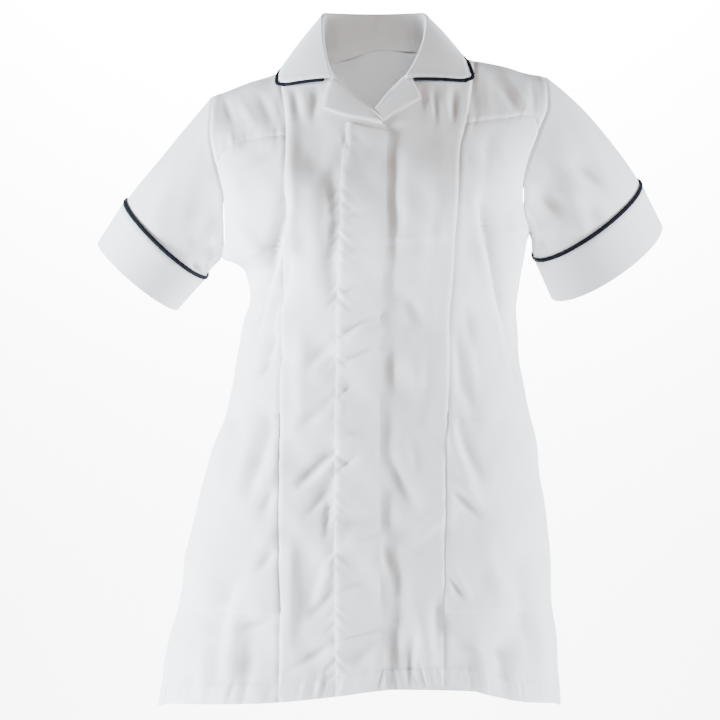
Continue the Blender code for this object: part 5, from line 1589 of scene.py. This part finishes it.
def node(tree, kind, inputs, **settings):
    """Outputs of a new shader node, whose inputs are values or other nodes' outputs."""
    made = tree.nodes.new("ShaderNode" + kind)
    for name, value in settings.items():
        setattr(made, name, value)
    connect(tree, made, inputs)
    return made.outputs


def connect(tree, made, inputs):
    """Set or link the inputs of a shader node."""
    for name, value in inputs.items():
        if isinstance(value, bpy.types.NodeSocket):
            tree.links.new(value, made.inputs[name])
        else:
            made.inputs[name].default_value = value


def cloth_material(name, colour, dark, roughness, pitch, weave, nap, sheen):
    """Woven cloth: threads that cross, a soft nap, slow changes of tone, and shade painted into the
    creases.
    """
    material = bpy.data.materials.new(name)
    material.use_nodes = True
    tree = material.node_tree
    uv = node(tree, "SeparateXYZ", {"Vector": node(tree, "UVMap", {}, uv_map="cloth")["UV"]})
    waves = []
    for axis in "XY":
        turn = node(tree, "Math", {0: uv[axis], 1: 2 * math.pi / pitch}, operation="MULTIPLY")[0]
        waves.append(node(tree, "Math", {0: turn}, operation="SINE")[0])
    threads = node(tree, "Math", {0: waves[0], 1: waves[1]}, operation="MULTIPLY")[0]
    where = node(tree, "TexCoord", {})["Object"]
    fuzz = node(tree, "TexNoise", {"Vector": where, **FUZZ})["Fac"]
    soft = node(tree, "TexNoise", {"Vector": where, **SOFT})["Fac"]
    slow = node(tree, "TexNoise", {"Vector": where, **SLOW})["Fac"]
    height = node(tree, "Math", {0: fuzz, 1: nap, 2: threads}, operation="MULTIPLY_ADD")[0]
    woven = {"Strength": weave, "Distance": WEAVE_HEIGHT, "Height": height}
    woven = node(tree, "Bump", woven)["Normal"]
    rumpled = {"Strength": RUMPLE, "Distance": RUMPLE_HEIGHT, "Height": soft, "Normal": woven}
    tone = node(tree, "Mix", {0: slow, 6: dark, 7: colour}, data_type="RGBA")[2]
    gap = node(tree, "MapRange", {"Value": threads, **THREAD_GAPS})["Result"]
    shade = node(tree, "VectorMath", {0: tone, "Scale": gap}, operation="SCALE")["Vector"]
    # Painted shade: the colour is mixed toward a warm grey where the creases are hollow.
    painted_crease_shade = node(tree, "Attribute", {}, attribute_name="painted_crease_shade")["Fac"]
    depth = node(tree, "Math", {0: painted_crease_shade, 1: PAINTED_SHADE_STRENGTH}, operation="MULTIPLY")[0]
    looks = {
        "Roughness": roughness,
        "Specular IOR Level": 0.20,
        "Sheen Weight": sheen,
        "Sheen Roughness": 0.45,
        "Normal": node(tree, "Bump", rumpled)["Normal"],
        "Base Color": node(tree, "Mix", {0: depth, 6: shade, 7: PAINTED_SHADE_COLOUR}, data_type="RGBA")[2],
    }
    connect(tree, tree.nodes["Principled BSDF"], looks)
    return material


def plain_material(name, colour, roughness):
    """A matt studio surface with a trace of unevenness."""
    material = bpy.data.materials.new(name)
    material.use_nodes = True
    tree = material.node_tree
    noise = node(tree, "TexNoise", {"Scale": 120.0})["Fac"]
    bump = node(tree, "Bump", {"Strength": 0.02, "Height": noise})["Normal"]
    looks = {"Base Color": colour, "Roughness": roughness, "Normal": bump}
    connect(tree, tree.nodes["Principled BSDF"], looks)
    return material


def lamp(name, place, target, size, power, colour):
    """A soft square lamp that faces a point."""
    light = bpy.data.lights.new(name, "AREA")
    light.shape = "RECTANGLE"
    light.size, light.size_y = size
    light.energy = power
    light.color = colour
    holder = bpy.data.objects.new(name, light)
    bpy.context.scene.collection.objects.link(holder)
    holder.location = place
    direction = Vector(target) - Vector(place)
    holder.rotation_euler = direction.to_track_quat("-Z", "Y").to_euler()


def studio():
    """Pale floor and backdrop, soft lamps and the camera at the photo's viewing angle."""
    pale = plain_material("studio_pale", STAGE_COLOUR, STAGE_ROUGHNESS)
    bpy.ops.object.select_all(action="DESELECT")
    bpy.ops.mesh.primitive_plane_add(size=STAGE_SIZE, location=(0, 0, FLOOR_Z))
    floor = bpy.context.active_object
    floor.name = "floor"
    upright = (math.pi / 2, 0, 0)
    middle = (0, BACKDROP_Y, FLOOR_Z + BACKDROP_RISE)
    bpy.ops.mesh.primitive_plane_add(size=STAGE_SIZE, location=middle, rotation=upright)
    backdrop = bpy.context.active_object
    backdrop.name = "backdrop"
    for surface in (floor, backdrop):
        surface.data.materials.append(pale)
    for row in LAMPS:
        lamp(*row)
    world = bpy.data.worlds.new("studio")
    world.use_nodes = True
    world.node_tree.nodes["Background"].inputs["Color"].default_value = WORLD_COLOUR
    world.node_tree.nodes["Background"].inputs["Strength"].default_value = WORLD_STRENGTH
    bpy.context.scene.world = world
    camera = bpy.data.cameras.new("camera")
    camera.sensor_width = SENSOR_WIDTH
    camera.lens = SENSOR_WIDTH * CAMERA_DISTANCE / PHOTO_WIDTH
    camera.clip_end = 100.0
    holder = bpy.data.objects.new("camera", camera)
    bpy.context.scene.collection.objects.link(holder)
    holder.location = (CAMERA_X, -CAMERA_DISTANCE, CAMERA_Z)
    holder.rotation_euler = upright
    bpy.context.scene.camera = holder


def flat_size(name):
    """Width, length and area of a piece's cut, from its own grid."""
    points = GRIDS[name][0]
    ring = GRIDS[name][2]
    along, up = runs(points)
    width = along[:, -1]
    if ring:
        width = width + np.linalg.norm(points[:, 0] - points[:, -1], axis=1)
    a = points[1:, 1:] - points[:-1, :-1]
    b = points[1:, :-1] - points[:-1, 1:]
    area = 0.5 * np.linalg.norm(np.cross(a, b), axis=2).sum()
    if ring:
        a = points[1:, 0] - points[:-1, -1]
        b = points[1:, -1] - points[:-1, 0]
        area += 0.5 * np.linalg.norm(np.cross(a, b), axis=1).sum()
    return float(width.max()), float(up[-1].max()), float(area)


def main():
    for use, *looks in CLOTHS:
        MATERIALS[use] = cloth_material(*looks)
    princess_right = seam_angle(PRINCESS_RIGHT, 1)
    princess_left = seam_angle(PRINCESS_LEFT, 1)
    edge_right = side_edge("right", ARMHOLE_RIGHT, 1)
    edge_left = side_edge("left", ARMHOLE_LEFT, 1)
    *arm_right, yoke_right = side_panels("right", princess_right, edge_right, YOKE_RIGHT, POCKET_RIGHT)
    *arm_left, yoke_left = side_panels("left", princess_left, edge_left, YOKE_LEFT, POCKET_LEFT)
    front_right(princess_right, yoke_right, POCKET_RIGHT)
    front_left(princess_left, yoke_left, POCKET_LEFT)
    behind_left = seam_angle(ARMHOLE_LEFT, 2, ARM_SAMPLES)
    behind_right = seam_angle(ARMHOLE_RIGHT, 2, ARM_SAMPLES)
    rear_left, rear_right = back_panel(edge_left, edge_right, behind_left, behind_right)
    sleeve("right", arm_right, rear_right, SLEEVE_RIGHT, SLEEVE_FOLDS_RIGHT, SLEEVE_CREASES_RIGHT)
    sleeve("left", arm_left, rear_left, SLEEVE_LEFT, SLEEVE_FOLDS_LEFT, SLEEVE_CREASES_LEFT)
    collar()
    lapel("right", LAPEL_RIGHT, FRONT_EDGE_RIGHT)
    lapel("left", LAPEL_LEFT, FRONT_EDGE_LEFT)
    for name, pieces in SEAMS.items():
        stitches(name, [row for row in STITCHES if row[0] in pieces])
    for name, held, rests in SHEETS:
        width, length, area = flat_size(name)
    studio()


main()
